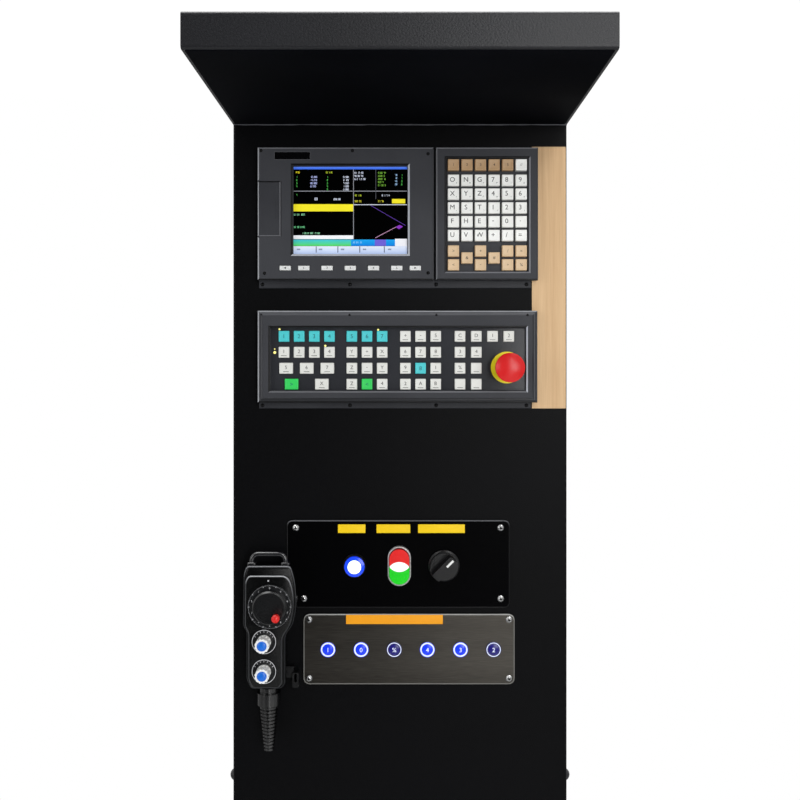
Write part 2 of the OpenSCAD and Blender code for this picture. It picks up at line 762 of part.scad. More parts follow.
// Hood over the cabinet, open below where it sits on the shell
module roof_hood() color([0.20, 0.20, 0.21]) difference() {
    translate([-side_x, 0, 0]) rotate([90, 0, 90]) linear_extrude(cabinet_w) hood_side(0, bend_r);
    translate([-inside_x, 0, 0]) rotate([90, 0, 90]) linear_extrude(2 * inside_x)
        hood_side(sheet_t, bend_r - sheet_t / 2);
    translate([rim_w - side_x, front_y + rim_w, hood_z - 1])
        cube([cabinet_w - 2 * rim_w, shell_back - front_y - 2 * rim_w, sheet_t + 2]);
}

// Welded plinth: floor plate with the anchor holes, four walls and the rim that carries the shell
module base_plinth() color([0.13, 0.13, 0.14]) {
    w = cabinet_w - 2 * plinth_inset;
    d = shell_back - front_y - 2 * plinth_inset;
    y0 = front_y + plinth_inset;
    wall_h = plinth_h - 2 * plinth_t;
    lip = plinth_inset + plinth_t;
    difference() {
        translate([-w / 2, y0, 0]) cube([w, d, plinth_t]);
        for (i = [-1, 1])
            for (j = [-1, 1])
                translate([i * anchor_x, j * anchor_y, -1]) cylinder(d = anchor_hole_d, h = plinth_t + 2);
        translate([0, 0, -1]) cylinder(d = cable_entry_d, h = plinth_t + 2);
    }
    for (y = [y0, y0 + d - plinth_t])
        translate([-w / 2, y, plinth_t]) cube([w, plinth_t, wall_h]);
    for (x = [-w / 2, w / 2 - plinth_t])
        translate([x, y0 + plinth_t, plinth_t]) cube([plinth_t, d - 2 * plinth_t, wall_h]);
    for (y = [front_y, shell_back - lip])
        translate([-side_x, y, plinth_h - plinth_t]) cube([cabinet_w, lip, plinth_t]);
    for (x = [-side_x, side_x - lip])
        translate([x, front_y + lip, plinth_h - plinth_t])
            cube([lip, shell_back - front_y - 2 * lip, plinth_t]);
}

// Dome-head bolts through the sides, with their nuts
module side_bolts() color([0.10, 0.10, 0.11])
    for (s = [-1, 1])
        translate([s * side_x, front_y + bolt_back, bolt_z]) rotate([0, s * 90, 0]) {
            dome(bolt_head_d / 2, bolt_head_h);
            translate([0, 0, -1.4 * bolt_d]) cylinder(d = bolt_d, h = 1.4 * bolt_d + 0.5);
            translate([0, 0, -sheet_t - 0.8 * bolt_d]) cylinder(d = 1.8 * bolt_d, h = 0.8 * bolt_d, $fn = 6);
        }

// Folded rear door with its hinge knuckles, vent cut-outs and lock hole
module rear_door() color([0.10, 0.10, 0.11]) difference() {
    union() {
        difference() {
            translate([-door_x, rear_y - door_t, door_z]) cube([2 * door_x, door_t, door_h]);
            translate([sheet_t - door_x, rear_y - door_t - 1, door_z + sheet_t])
                cube([2 * door_x - 2 * sheet_t, door_t - sheet_t + 1, door_h - 2 * sheet_t]);
        }
        for (z = hinge_zs) {
            translate([hinge_x, shell_back, z + 0.6]) cylinder(d = knuckle_d, h = knuckle_h);
            translate([-side_x - leaf_t, shell_back + door_seam, z + 0.6])
                cube([leaf_t + 1.5 * sheet_t, door_t - 3, knuckle_h]);
        }
    }
    for (z = hinge_zs)
        translate([hinge_x, shell_back, z]) cylinder(d = pin_d + 2 * run_gap, h = knuckle_h + 2);
    for (z = grille_zs)
        translate([0, rear_y, z]) cube([grille_open - 6, 10 * sheet_t, grille_open - 6], center = true);
    rod(lock_x, rear_y + 1, lock_z, barrel_d + 2 * run_gap, sheet_t + 2);
}

// Pins of the three door hinges
module hinge_pins() color([0.55, 0.56, 0.58])
    for (z = hinge_zs)
        translate([hinge_x, shell_back, z]) {
            translate([0, 0, -knuckle_h]) cylinder(d = pin_d, h = 2 * knuckle_h + 1.2);
            translate([0, 0, knuckle_h + 1.2]) dome(pin_d / 2, 1.6);
        }

// Quarter-turn lock: slotted head, barrel and cam
module door_lock() color([0.62, 0.63, 0.65]) difference() {
    union() {
        translate([lock_x, rear_y, lock_z]) rotate([-90, 0, 0]) cylinder(d = lock_d, h = 4);
        rod(lock_x, rear_y + 1, lock_z, barrel_d, door_t + 6);
        rod(lock_x, shell_back - 4, lock_z, 12, 6);
        front(shell_back - 6, 3) translate([lock_x - 8, lock_z - 40]) square([16, 48]);
    }
    translate([lock_x, rear_y + 3.5, lock_z]) cube([3, 4, lock_d * 0.54], center = true);
}

// Louvred vent grilles on the rear door
module vent_grilles() color([0.16, 0.16, 0.17])
    for (z = grille_zs)
        translate([0, rear_y, z]) {
            difference() {
                translate([-grille_w / 2, 0, -grille_w / 2]) cube([grille_w, grille_d, grille_w]);
                translate([-grille_open / 2, -1, -grille_open / 2]) cube([grille_open, grille_d + 2, grille_open]);
            }
            for (i = [-4:4])
                translate([0, grille_d / 2 + 0.1, i * slat_pitch]) rotate([38, 0, 0])
                    cube([grille_open + 2, grille_d / 5, grille_d], center = true);
        }

// Mounting plate between its two side angles
module mounting_plate() color([0.78, 0.78, 0.76]) {
    w = 2 * (inside_x - inner_t);
    translate([-w / 2, inner_y, inner_z]) cube([w, inner_t, inner_h]);
    for (x = [-inside_x, inside_x - inner_t])
        translate([x, inner_face - inner_flange, inner_z]) cube([inner_t, inner_flange, inner_h]);
}

// Three drives with fins, a display window and plug rows
module servo_drives() color([0.24, 0.25, 0.27])
    for (i = [-1:1])
        translate([i * drive_pitch - drive_w * 0.27, inner_face, drive_z]) difference() {
            union() {
                translate([-drive_w / 2, 0, 0]) cube([drive_w, drive_d * 0.91, drive_h]);
                translate([-drive_w * 0.446, drive_d * 0.9, drive_h * 0.023])
                    cube([drive_w * 0.892, drive_d * 0.1, drive_h * 0.954]);
            }
            for (j = [-3:3])
                translate([j * drive_w / 9, drive_d * 0.42, drive_h])
                    cube([drive_w / 25, drive_d * 0.54, drive_h * 0.09], center = true);
            translate([0, drive_d, drive_h * 0.847]) cube([drive_w * 0.54, 4, drive_h * 0.084], center = true);
            for (k = [0:2])
                translate([0, drive_d, drive_h * (0.153 + k * 0.1756)])
                    cube([drive_w * 0.62, 16, drive_h * 0.1], center = true);
        }

// Rails with the supply, breakers, contactors and the terminal row
module rail_devices() color([0.70, 0.70, 0.68]) {
    for (z = [rail_z, terminal_z])
        translate([-rail_l / 2, inner_face, z - rail_h / 2]) cube([rail_l, rail_t, rail_h]);
    translate([-rail_l * 0.474, rail_y, rail_z - rail_h * 1.77]) cube([rail_l * 0.158, rail_h * 2.85, rail_h * 3.54]);
    for (i = [0:3])
        translate([i * (breaker_w + rail_space) - rail_l * 0.284, rail_y, rail_z - rail_h * 1.2]) union() {
            cube([breaker_w, rail_h * 1.25, rail_h * 2.4]);
            translate([0, rail_h * 1.25, rail_h * 0.57]) cube([breaker_w, rail_h * 0.57, rail_h * 1.25]);
            translate([breaker_w * 0.28, rail_h * 1.82, rail_h]) cube([breaker_w * 0.44, 6, rail_h * 0.45]);
        }
    for (i = [0:1])
        translate([rail_l * (i * 0.132 - 0.053), rail_y, rail_z - rail_h * 1.14]) union() {
            cube([rail_l * 0.118, rail_h * 1.7, rail_h * 2.28]);
            translate([rail_l * 0.013, rail_h * 1.7, rail_h * 0.35]) cube([rail_l * 0.092, rail_h * 0.57, rail_h * 1.6]);
        }
    translate([rail_l * 0.237, rail_y, rail_z - rail_h * 1.28]) cube([rail_l * 0.237, rail_h * 2, rail_h * 2.56]);
    for (i = [0:floor(rail_l * 0.43 / (terminal_w + rail_space))])
        translate([i * (terminal_w + rail_space) - rail_l * 0.447, rail_y, terminal_z - 25]) difference() {
            cube([terminal_w, 38, 50]);
            for (j = [8, 42])
                translate([terminal_w / 2, 39, j]) rotate([90, 0, 0]) cylinder(d = terminal_w * 0.56, h = 8);
        }
    for (i = [0:3])
        translate([rail_l * (0.053 + i * 0.09), rail_y, terminal_z - rail_h * 1.08]) union() {
            cube([rail_l * 0.079, rail_h * 1.4, rail_h * 2.16]);
            translate([rail_l * 0.01, rail_h * 1.4, rail_h * 0.57]) cube([rail_l * 0.058, rail_h * 0.4, rail_h]);
        }
}

// Slotted wiring ducts across the mounting plate
module wiring_ducts() color([0.55, 0.56, 0.58])
    for (z = duct_zs)
        translate([0, inner_face, z]) difference() {
            translate([-duct_l / 2, 0, -duct_w / 2]) cube([duct_l, duct_d, duct_w]);
            for (x = [-duct_pitch * floor(duct_l / 2 / duct_pitch):duct_pitch:duct_l / 2 - duct_slot])
                translate([x - duct_slot / 2, duct_d * 0.2, -duct_w]) cube([duct_slot, duct_d * 0.73, 2 * duct_w]);
        }

// Flange and case of the control unit
module control_case() color([0.15, 0.15, 0.16]) difference() {
    union() {
        chamfered(flange_x, unit_z - flange_lip / 2, flange_w, unit_h + flange_lip, front_y, flange_y, 0.8);
        translate([case_x, front_y - 0.5, unit_foot + 2]) cube([case_w, unit_case_d + 0.5, unit_h - 8]);
    }
    for (i = [-5:5])
        translate([flange_x + case_w * (i * 0.039 - 0.167), front_y + unit_case_d, unit_z + unit_h * 0.16])
            cube([case_w / 60, 10, unit_h * 0.37], center = true);
    for (i = [0:3])
        translate([flange_x + case_w * 0.167, front_y + unit_case_d, unit_z + unit_h * (i * 0.2 - 0.317)])
            cube([case_w * 0.15, 14, unit_h * 0.106], center = true);
    for (x = flange_screw_xs)
        rod(x, front_y + 1, unit_screw_z, small_screw_d, flange_t + 2);
}

// Display bezel with the screen opening, key slots and card recess
module display_bezel() color([0.25, 0.25, 0.27]) difference() {
    chamfered(display_x, unit_z, display_w, unit_h, flange_y, bezel_y, bezel_chamfer);
    recess(screen_x, screen_z, screen_w, screen_h, bezel_y, screen_sink, screen_bevel);
    front(flange_y + 1, bezel_t) translate([screen_x, screen_z])
        square([screen_w - 2 * screen_bevel, screen_h - 2 * screen_bevel], center = true);
    for (x = soft_xs)
        front(flange_y + 1, bezel_t + 3) translate([x, soft_z])
            square([soft_w + 2 * key_gap, soft_h + 2 * key_gap], center = true);
    translate([unit_left - 1, bezel_y - 1, card_z - card_h / 2 - key_gap])
        cube([card_w + 1.5, 2 * card_t + 2, card_h + 2 * key_gap]);
    for (s = [-1, 1])
        translate([card_axis_x, card_axis_y, card_z + s * (card_h / 2 + 1)])
            cylinder(d = card_pin_d + 2 * run_gap, h = 4.6, center = true);
    for (s = [-0.3, -0.1])
        translate([unit_left + card_w * 0.58, bezel_y + 2 * card_t, card_z + s * card_h])
            cube([card_w * 0.42, 9, card_h * 0.09], center = true);
    translate([unit_left + card_w * 0.58, bezel_y + 2 * card_t, card_z + card_h * 0.23])
        cube([card_w * 0.18, 9, card_h * 0.43], center = true);
}

// Screen in the display bezel
module lcd_panel() color([0.05, 0.06, 0.08])
    front(flange_y, bezel_t - screen_sink) translate([screen_x, screen_z])
        square([screen_w - 2 * screen_bevel - 0.2, screen_h - 2 * screen_bevel - 0.2], center = true);

// Row of soft keys below the screen
module soft_keys() color([0.86, 0.86, 0.84])
    for (x = soft_xs)
        chamfered(x, soft_z, soft_w, soft_h, flange_y, bezel_y - soft_out, 0.6);

// Hinged cover of the card slot
module card_door() color([0.27, 0.27, 0.29]) {
    translate([card_axis_x, bezel_y, card_z - card_h / 2]) cube([card_w - card_t - key_gap, card_t, card_h]);
    translate([card_axis_x, card_axis_y, card_z - card_h / 2]) cylinder(r = card_t, h = card_h);
    translate([card_axis_x, card_axis_y, card_z - card_h / 2 - 2]) cylinder(d = card_pin_d, h = card_h + 4);
    translate([unit_left + card_w - 7, bezel_y - 0.8, card_z - card_h * 0.18]) cube([2.5, 1.2, card_h * 0.36]);
}

// Keypad bezel with its recess
module mdi_bezel() color([0.25, 0.25, 0.27]) difference() {
    chamfered(keypad_x, unit_z, keypad_w, unit_h, flange_y, bezel_y, bezel_chamfer);
    recess(pad_x, pad_z, pad_w, pad_h, bezel_y, pad_sink, pad_bevel);
}

// One key standing on a face at y
module key(x, z, w, h, y, t) {
    front(y, t - key_step) translate([x, z]) rounded(w, h, key_r);
    front(y - t + key_step, key_step) translate([x, z])
        rounded(w - 2 * key_step, h - 2 * key_step, key_r * 0.75);
}

// Place of a keypad key by its column and its distance below the top row
module pad_key(col, drop) {
    key(pad_x + (col - 2.5) * key_pitch_x, pad_top_z - drop, key_w, key_h, pad_floor, key_t);
}

// White keys of the keypad
module mdi_white_keys() color([0.88, 0.88, 0.86]) {
    pad_key(5, 0);
    for (row = [0:4])
        for (col = [0:5])
            pad_key(col, pad_second + row * key_pitch_z);
}

// Tan keys of the keypad: five on top, ten at the bottom
module mdi_tan_keys() color([0.80, 0.66, 0.50]) {
    for (col = [0:4])
        pad_key(col, 0);
    for (col = [0, 2, 4, 5])
        for (row = [0, 1])
            pad_key(col, pad_block + row * key_pitch_z);
    for (col = [1, 3])
        pad_key(col, pad_block + key_pitch_z / 2);
}

// Flange and case of the operator panel
module operator_case() color([0.15, 0.15, 0.16]) difference() {
    union() {
        chamfered(flange_x, panel_z - panel_lip / 2, flange_w, panel_h + panel_lip, front_y, flange_y, 0.8);
        translate([panel_case_x, front_y - 0.5, panel_foot + 12])
            cube([panel_case_w, panel_case_d + 0.5, panel_h - 30]);
    }
    rod(estop_x, front_y + 1, estop_z, switch_d + hole_gap, flange_t + 2);
    for (x = flange_screw_xs)
        rod(x, front_y + 1, panel_screw_z, small_screw_d, flange_t + 2);
}

// Bezel frame of the operator panel
module operator_bezel() color([0.25, 0.25, 0.27]) difference() {
    chamfered(panel_x, panel_z, panel_w, panel_h, flange_y, bezel_y, bezel_chamfer);
    recess(window_x, window_z, window_w, window_h, bezel_y, bezel_t - overlay_t, window_bevel);
    front(flange_y + 1, bezel_t) translate([window_x, window_z])
        square([window_w - 2 * window_bevel, window_h - 2 * window_bevel], center = true);
}

// Glossy overlay in the operator panel's window
module operator_overlay() color([0.12, 0.12, 0.13]) difference() {
    front(flange_y, overlay_t) translate([window_x, window_z])
        square([window_w - 2 * window_bevel - 0.2, window_h - 2 * window_bevel - 0.2], center = true);
    rod(estop_x, flange_y + 1, estop_z, switch_d + hole_gap, overlay_t + 2);
}

// Place of an operator key by its group, column and row
module op_key(group, col, row, w) {
    key(op_left[group] + col * op_pitch_x, op_top_z - row * op_pitch_z, w, op_key_h, overlay_y, op_key_t);
}

// White keys of the operator panel
module operator_white_keys() color([0.86, 0.86, 0.85]) {
    for (col = [0:3])
        op_key(0, col, 1, op_key_w);
    for (col = [0:2])
        op_key(0, 1.5 + (col - 1) * 1.36, 2, op_wide_w);
    op_key(0, 2.5, 3, op_wide_w);
    for (col = [0:2])
        for (row = [1:2])
            op_key(1, col, row, op_key_w);
    for (col = [0, 2])
        op_key(1, col, 3, op_key_w);
    for (row = [0:3])
        for (col = row == 2 ? [0, 2] : [0, 1, 2])
            op_key(2, col, row, op_key_w);
    for (row = [0:3])
        for (col = row == 0 ? [0, op_last_col / 3, op_last_col * 2 / 3, op_last_col] : [0, op_last_col / 3])
            op_key(3, col, row, op_key_w);
}

// Teal and green keys of the operator panel
module operator_colour_keys() {
    color([0.10, 0.45, 0.45]) {
        for (col = [0:3])
            op_key(0, col, 0, op_key_w);
        for (col = [0:2])
            op_key(1, col, 0, op_key_w);
        op_key(2, 1, 2, op_key_w);
    }
    color([0.15, 0.62, 0.30]) {
        op_key(0, 0.5, 3, op_wide_w);
        op_key(1, 1, 3, op_key_w);
    }
}

// Yellow disc of the emergency stop
module estop_plate() color([0.93, 0.78, 0.10]) difference() {
    rod(estop_x, overlay_y, estop_z, estop_disc_d, estop_disc_t);
    rod(estop_x, overlay_y + 1, estop_z, switch_d + hole_gap, estop_disc_t + 2);
}

// Collar, thread, nut and contact block of the emergency stop
module estop_body() color([0.09, 0.09, 0.10]) {
    collar_y = overlay_y - estop_disc_t;
    difference() {
        union() {
            rod(estop_x, collar_y, estop_z, nut_d, 13);
            rod(estop_x, front_y + 12, estop_z, switch_d, front_y + 12 - collar_y + 1);
            rod(estop_x, front_y + 6, estop_z, nut_d, 6);
            translate([estop_x - contact_w / 2, front_y + 11.5, estop_z - contact_h / 2])
                cube([contact_w, contact_d + 2, contact_h]);
        }
        rod(estop_x, front_y + 8, estop_z, estop_plunger_d + 2 * run_gap, 60);
    }
}

// Sliding plunger of the emergency stop
module estop_plunger() color([0.35, 0.36, 0.38])
    facing(estop_x, front_y + 7.5 - estop_travel, estop_z)
        cylinder(d = estop_plunger_d, h = front_y + 7.5 - estop_travel - overlay_y + estop_disc_t + estop_rise - 10);

// Mushroom head of the emergency stop, turned to release
module estop_head() color([0.78, 0.08, 0.07])
    facing(estop_x, overlay_y - estop_disc_t, estop_z) rotate_extrude() difference() {
        union() {
            translate([0, estop_rise - 24]) square([13, 14]);
            translate([0, estop_rise - 14]) square([estop_head_d / 2 - 3, 8]);
            translate([0, estop_rise - 11]) square([estop_head_d / 2, 5]);
            translate([estop_head_d / 2 - 3, estop_rise - 11]) circle(3);
            intersection() {
                translate([0, estop_rise - 40]) circle(40);
                translate([0, estop_rise - 6.5]) square([estop_head_d / 2, 12]);
            }
        }
        square([estop_plunger_d / 2 + run_gap, estop_rise - 10]);
    }

// Bare trim strip beside the two units
module trim_strip() color([0.76, 0.60, 0.42])
    front(front_y, strip_t) translate([strip_x, panel_foot - panel_lip])
        square([side_x - strip_edge - strip_x, unit_foot + unit_h + strip_over - panel_foot + panel_lip]);

// Small screws on the flanges and bezels
module panel_screws() color([0.30, 0.30, 0.32]) {
    for (x = flange_screw_xs)
        for (z = [unit_screw_z, panel_screw_z])
            facing(x, flange_y, z) {
                dome(small_head_d / 2, 1.5);
                translate([0, 0, -flange_t]) cylinder(d = small_screw_d - 0.02, h = flange_t + 0.5);
            }
    for (x = flange_screw_xs)
        facing(x, bezel_y, panel_z + panel_h / 2 - 5.2) dome(small_head_d / 2 - 0.4, 1.2);
    for (p = [[4.5, 4.4], [display_w * 0.538, 4.4], [display_w - 8, 9], [display_w - 8, unit_h - 10], [9.5, unit_h - 9.5]])
        facing(unit_left + p[0], bezel_y, unit_z + unit_h / 2 - p[1]) dome(small_head_d / 2 - 0.4, 1.2);
}

// Black plate with the three switches
module button_plate() color([0.09, 0.09, 0.10]) difference() {
    front(front_y, plate_t) translate([plate_x, plate_z]) rounded(plate_w, plate_h, plate_r);
    for (x = [lamp_x, twin_x, selector_x])
        rod(x, front_y + 1, switch_z, switch_d + hole_gap, plate_t + 2);
    for (p = plate_screws_at)
        rod(p[0], front_y + 1, p[1], screw_d + hole_gap, plate_t + 2);
}

// Thread, nut and contact block that every switch has behind the plate
module switch_back(x) {
    rod(x, front_y + 14, switch_z, switch_d, 14 + plate_t + 1);
    rod(x, front_y + 5, switch_z, nut_d, 5);
    translate([x - contact_w / 2, front_y + 13.5, switch_z - contact_h / 2]) cube([contact_w, contact_d + 0.5, contact_h]);
}

// Housing of the lamp button
module lamp_housing() color([0.10, 0.10, 0.11]) difference() {
    union() {
        rod(lamp_x, plate_y, switch_z, lamp_d, 3);
        facing(lamp_x, plate_y - 3, switch_z) cylinder(d1 = lamp_d, d2 = lens_d + 2.4, h = 3.5);
        switch_back(lamp_x);
    }
    rod(lamp_x, plate_y - switch_wall, switch_z, lens_d + 2 * key_gap, 12);
    rod(lamp_x, plate_y + 12, switch_z, lamp_stem_d + 2 * run_gap, 20);
}

// Lens of the lamp button, pressed in
module lamp_button() color([0.25, 0.55, 0.95]) {
    rod(lamp_x, press_y, switch_z, lens_d, 4.3);
    facing(lamp_x, press_y - 4.3, switch_z) dome(lens_d / 2, 2.2);
    facing(lamp_x, plate_y + 11 - press_travel, switch_z)
        cylinder(d = lamp_stem_d, h = plate_y + 12 - press_travel - press_y);
}

// Outline of the twin button drawn in x and z
module stadium(w, h) {
    square([w, h - w], center = true);
    for (s = [-1, 1])
        translate([0, s * (h - w) / 2]) circle(d = w);
}

// Housing of the twin button
module twin_housing() color([0.80, 0.80, 0.80]) difference() {
    union() {
        front(plate_y, 4) translate([twin_x, switch_z]) rounded(twin_w, twin_h, 9);
        front(plate_y - 4, 2) translate([twin_x, switch_z]) rounded(twin_w - 2, twin_h - 2, 8.2);
        switch_back(twin_x);
    }
    front(plate_y - switch_wall, 12) translate([twin_x, switch_z])
        stadium(twin_in_w + 2 * key_gap, twin_in_h + 2 * key_gap);
    for (s = [-1, 1])
        rod(twin_x, plate_y + 6, switch_z + s * twin_stem_z, twin_stem_d + 2 * run_gap, 12);
}

// One half of the twin button: s is 1 for the upper and -1 for the lower half
module twin_half(s) {
    front(press_y, 4.4) translate([twin_x, switch_z]) difference() {
        stadium(twin_in_w, twin_in_h);
        translate([0, -s * twin_split_z]) circle(twin_split_r + key_gap);
        translate([-30, s > 0 ? -60 : 0]) square(60);
    }
    facing(twin_x, plate_y + 5.5 - press_travel, switch_z + s * twin_stem_z)
        cylinder(d = twin_stem_d, h = plate_y + 6.5 - press_travel - press_y);
}

// Red upper half of the twin button
module stop_button() color([0.80, 0.10, 0.10]) twin_half(1);

// Green lower half of the twin button
module start_button() color([0.10, 0.60, 0.30]) twin_half(-1);

// Fixed white lens between the two halves
module twin_lens() color([0.90, 0.90, 0.88])
    front(plate_y - switch_wall, plate_y - switch_wall - press_y + 5) translate([twin_x, switch_z]) intersection() {
        translate([0, -twin_split_z]) circle(twin_split_r);
        translate([0, twin_split_z]) circle(twin_split_r);
        square([twin_in_w - 1, 30], center = true);
    }

// Ring, thread and contact block of the selector
module selector_housing() color([0.10, 0.10, 0.11]) difference() {
    union() {
        rod(selector_x, plate_y, switch_z, selector_d, 3);
        facing(selector_x, plate_y - 3, switch_z) cylinder(d1 = selector_d, d2 = selector_d - 4, h = 2);
        switch_back(selector_x);
    }
    rod(selector_x, plate_y + 10, switch_z, selector_shaft_d + 2 * run_gap, 20);
}

// Selector knob with its grip and white marker
module selector_knob() {
    knob_y = plate_y - 5 - key_gap;
    color([0.09, 0.09, 0.10]) difference() {
        union() {
            rod(selector_x, plate_y + 9, switch_z, selector_shaft_d, 16);
            rod(selector_x, knob_y, switch_z, selector_d - 6, 4);
            facing(selector_x, knob_y - 4, switch_z) rotate([0, 0, 45]) linear_extrude(grip_h)
                intersection() {
                    circle(d = selector_d - 7);
                    square([selector_d, grip_bar_w], center = true);
                }
        }
        facing(selector_x, knob_y - 3 - grip_h, switch_z) rotate([0, 0, 45])
            translate([selector_d * 0.09, -grip_bar_w / 8, 0]) cube([selector_d / 3, grip_bar_w / 4, 6]);
    }
    color([0.92, 0.92, 0.90])
        facing(selector_x, knob_y - 3 - grip_h, switch_z) rotate([0, 0, 45])
            translate([selector_d * 0.09, -grip_bar_w / 8, 0]) cube([selector_d * 0.3, grip_bar_w / 4, 1.2]);
}

// Bare label tags on both plates
module label_tags() color([0.93, 0.76, 0.12]) {
    for (p = [[lamp_x, -0.067, 0.64], [twin_x, -0.132, 0.78], [selector_x, -0.056, 1.075]])
        front(plate_y, tag_t) translate([p[0] + p[1] * switch_pitch, tag_z])
            square([p[2] * switch_pitch, tag_h], center = true);
    front(plate_y, tag_t) translate([steel_x - steel_w * 0.069, steel_z + steel_h / 2 - tag_h / 2 - 0.8])
        square([steel_w * long_tag_share, tag_h], center = true);
}

// Brushed steel plate with the six ring buttons
module steel_plate() color([0.55, 0.55, 0.56]) difference() {
    front(front_y, plate_t) translate([steel_x, steel_z]) rounded(steel_w, steel_h, plate_r + 0.5);
    for (x = ring_xs)
        rod(x, front_y + 1, steel_z, ring_thread_d + 0.3, plate_t + 2);
    for (p = steel_screws_at)
        rod(p[0], front_y + 1, p[1], screw_d + hole_gap, plate_t + 2);
}

// Heads, threads, nuts and pins of the ring buttons
module steel_button_rings() color([0.66, 0.66, 0.67])
    for (x = ring_xs) {
        difference() {
            union() {
                rod(x, plate_y, steel_z, ring_d, 1.6);
                facing(x, plate_y - 1.6, steel_z) cylinder(d1 = ring_d, d2 = ring_d - 2, h = 0.8);
                rod(x, front_y + ring_d, steel_z, ring_thread_d, ring_d + plate_t + 0.5);
                facing(x, front_y + 5, steel_z) cylinder(d = ring_nut_d, h = 5, $fn = 6);
            }
            rod(x, plate_y + 8, steel_z, ring_cap_d + 2 * run_gap, 20);
        }
        for (i = [-1, 1])
            rod(x + i * 4, front_y + ring_d + 8, steel_z, 2, 9);
    }

// Actuator of one ring button
module ring_button(i) color([0.16, 0.40, 0.90]) {
    rod(ring_xs[i], plate_y + 8 - ring_travel - 1, steel_z, ring_cap_d, 9.4 - ring_travel);
    facing(ring_xs[i], plate_y - 2.4, steel_z) dome(ring_cap_d / 2, 1.2);
}

// Actuators of the six ring buttons
module push_button_1() ring_button(0);
module push_button_2() ring_button(1);
module push_button_3() ring_button(2);
module push_button_4() ring_button(3);
module push_button_5() ring_button(4);
module push_button_6() ring_button(5);

// Screws that hold both button plates
module plate_screws() color([0.62, 0.63, 0.65])
    for (p = all_screws_at)
        facing(p[0], plate_y, p[1]) difference() {
            union() {
                dome(screw_head_d / 2, screw_head_h);
                translate([0, 0, -plate_t - sheet_t - 6]) cylinder(d = screw_d, h = plate_t + sheet_t + 6.5);
                translate([0, 0, -plate_t - sheet_t - 4]) cylinder(d = screw_nut_d, h = 4, $fn = 6);
            }
            translate([0, 0, screw_head_h - 1.6]) cylinder(d = screw_head_d * 0.36, h = 3, $fn = 6);
        }

// Front outline of the pendant drawn in x and z, drawn in by the given distance
module pendant_outline(inset) {
    a = head_w / 2 - inset;
    right = grip_w / 2 - grip_shift - inset;
    left = -grip_w / 2 - grip_shift + inset;
    t = pendant_top - inset;
    u = pendant_z + inset;
    polygon([[4 - a, t], [a - 4, t], [a, t - 4], [a, grip_top + 6], [right, grip_top - 10], [right, u + 6],
        [right - 6, u], [left + 12, u], [left, u + 12], [left, grip_top - 14], [-a, grip_top + 2], [-a, t - 4]]);
}

// Body of the hand pendant with pockets for its controls
module pendant_body() color([0.08, 0.08, 0.09]) difference() {
    translate([pendant_x, 0, 0]) {
        front(pendant_back, pendant_t - 6) pendant_outline(0);
        front(pendant_back - pendant_t + 6, 3) pendant_outline(1.2);
        front(pendant_back - pendant_t + 3, 3) pendant_outline(3);
    }
    rod(dial_x, pendant_y + 12, dial_z, dial_shaft_d + 2 * run_gap, 20);
    for (z = knob_zs)
        rod(knob_x, pendant_y + 10, z, knob_shaft_d + 2 * run_gap, 20);
    translate([pendant_x - head_w / 2 - 1, pendant_mid - enable_w / 2 - key_gap, enable_z - enable_h / 2 - key_gap])
        cube([5, enable_w + 2 * key_gap, enable_h + 2 * key_gap]);
    translate([pendant_x - head_w / 2, pendant_mid, enable_z]) rotate([0, 90, 0])
        cylinder(d = 4 + 2 * run_gap, h = 10.5 + enable_travel);
}

// Hanger loop on top of the pendant
module pendant_hanger() color([0.08, 0.08, 0.09])
    front(pendant_mid + loop_t / 2, loop_t) difference() {
        translate([pendant_x, pendant_top + loop_h / 2]) {
            rounded(loop_w, loop_h, 6);
            translate([-loop_w / 2, -loop_h / 2]) square([loop_w, loop_h / 2]);
        }
        translate([pendant_x, pendant_top + loop_gap_h / 2 + loop_foot])
            rounded(loop_w - 2 * loop_bar, loop_gap_h, 3);
    }

// Scale rings around the dial and the knobs
module pendant_scales() color([0.30, 0.30, 0.32]) {
    difference() {
        rod(dial_x, pendant_y, dial_z, scale_d, scale_t);
        rod(dial_x, pendant_y + 1, dial_z, dial_shaft_d + 2, 6);
    }
    for (z = knob_zs)
        difference() {
            rod(knob_x, pendant_y, z, knob_scale_d, scale_t / 2);
            rod(knob_x, pendant_y + 1, z, knob_shaft_d + 2, 6);
        }
}

// Turning dial of the pendant
module pendant_dial() color([0.11, 0.11, 0.12]) difference() {
    union() {
        rod(dial_x, pendant_y + 11, dial_z, dial_shaft_d, 16);
        rod(dial_x, pendant_y - scale_t - 0.4, dial_z, dial_d, dial_h - scale_t - 1.4);
        facing(dial_x, pendant_y - dial_h + 1, dial_z) cylinder(d1 = dial_d, d2 = dial_d - 4, h = 2);
    }
    rod(dial_x, pendant_y - dial_h, dial_z, dial_d - 9, 3);
    rod(spinner_x, pendant_y - dial_h + 7, spinner_z, 4 + 2 * run_gap, 12);
}

// Spinner on the dial
module dial_spinner() color([0.75, 0.08, 0.08])
    facing(spinner_x, pendant_y - dial_h - 1.4, spinner_z) {
        translate([0, 0, -7]) cylinder(d = 4, h = 9);
        cylinder(d1 = spinner_d - 4, d2 = spinner_d, h = spinner_h * 0.4);
        translate([0, 0, spinner_h * 0.4]) cylinder(d = spinner_d, h = spinner_h * 0.4);
        translate([0, 0, spinner_h * 0.8]) dome(spinner_d / 2, spinner_h * 0.2);
    }

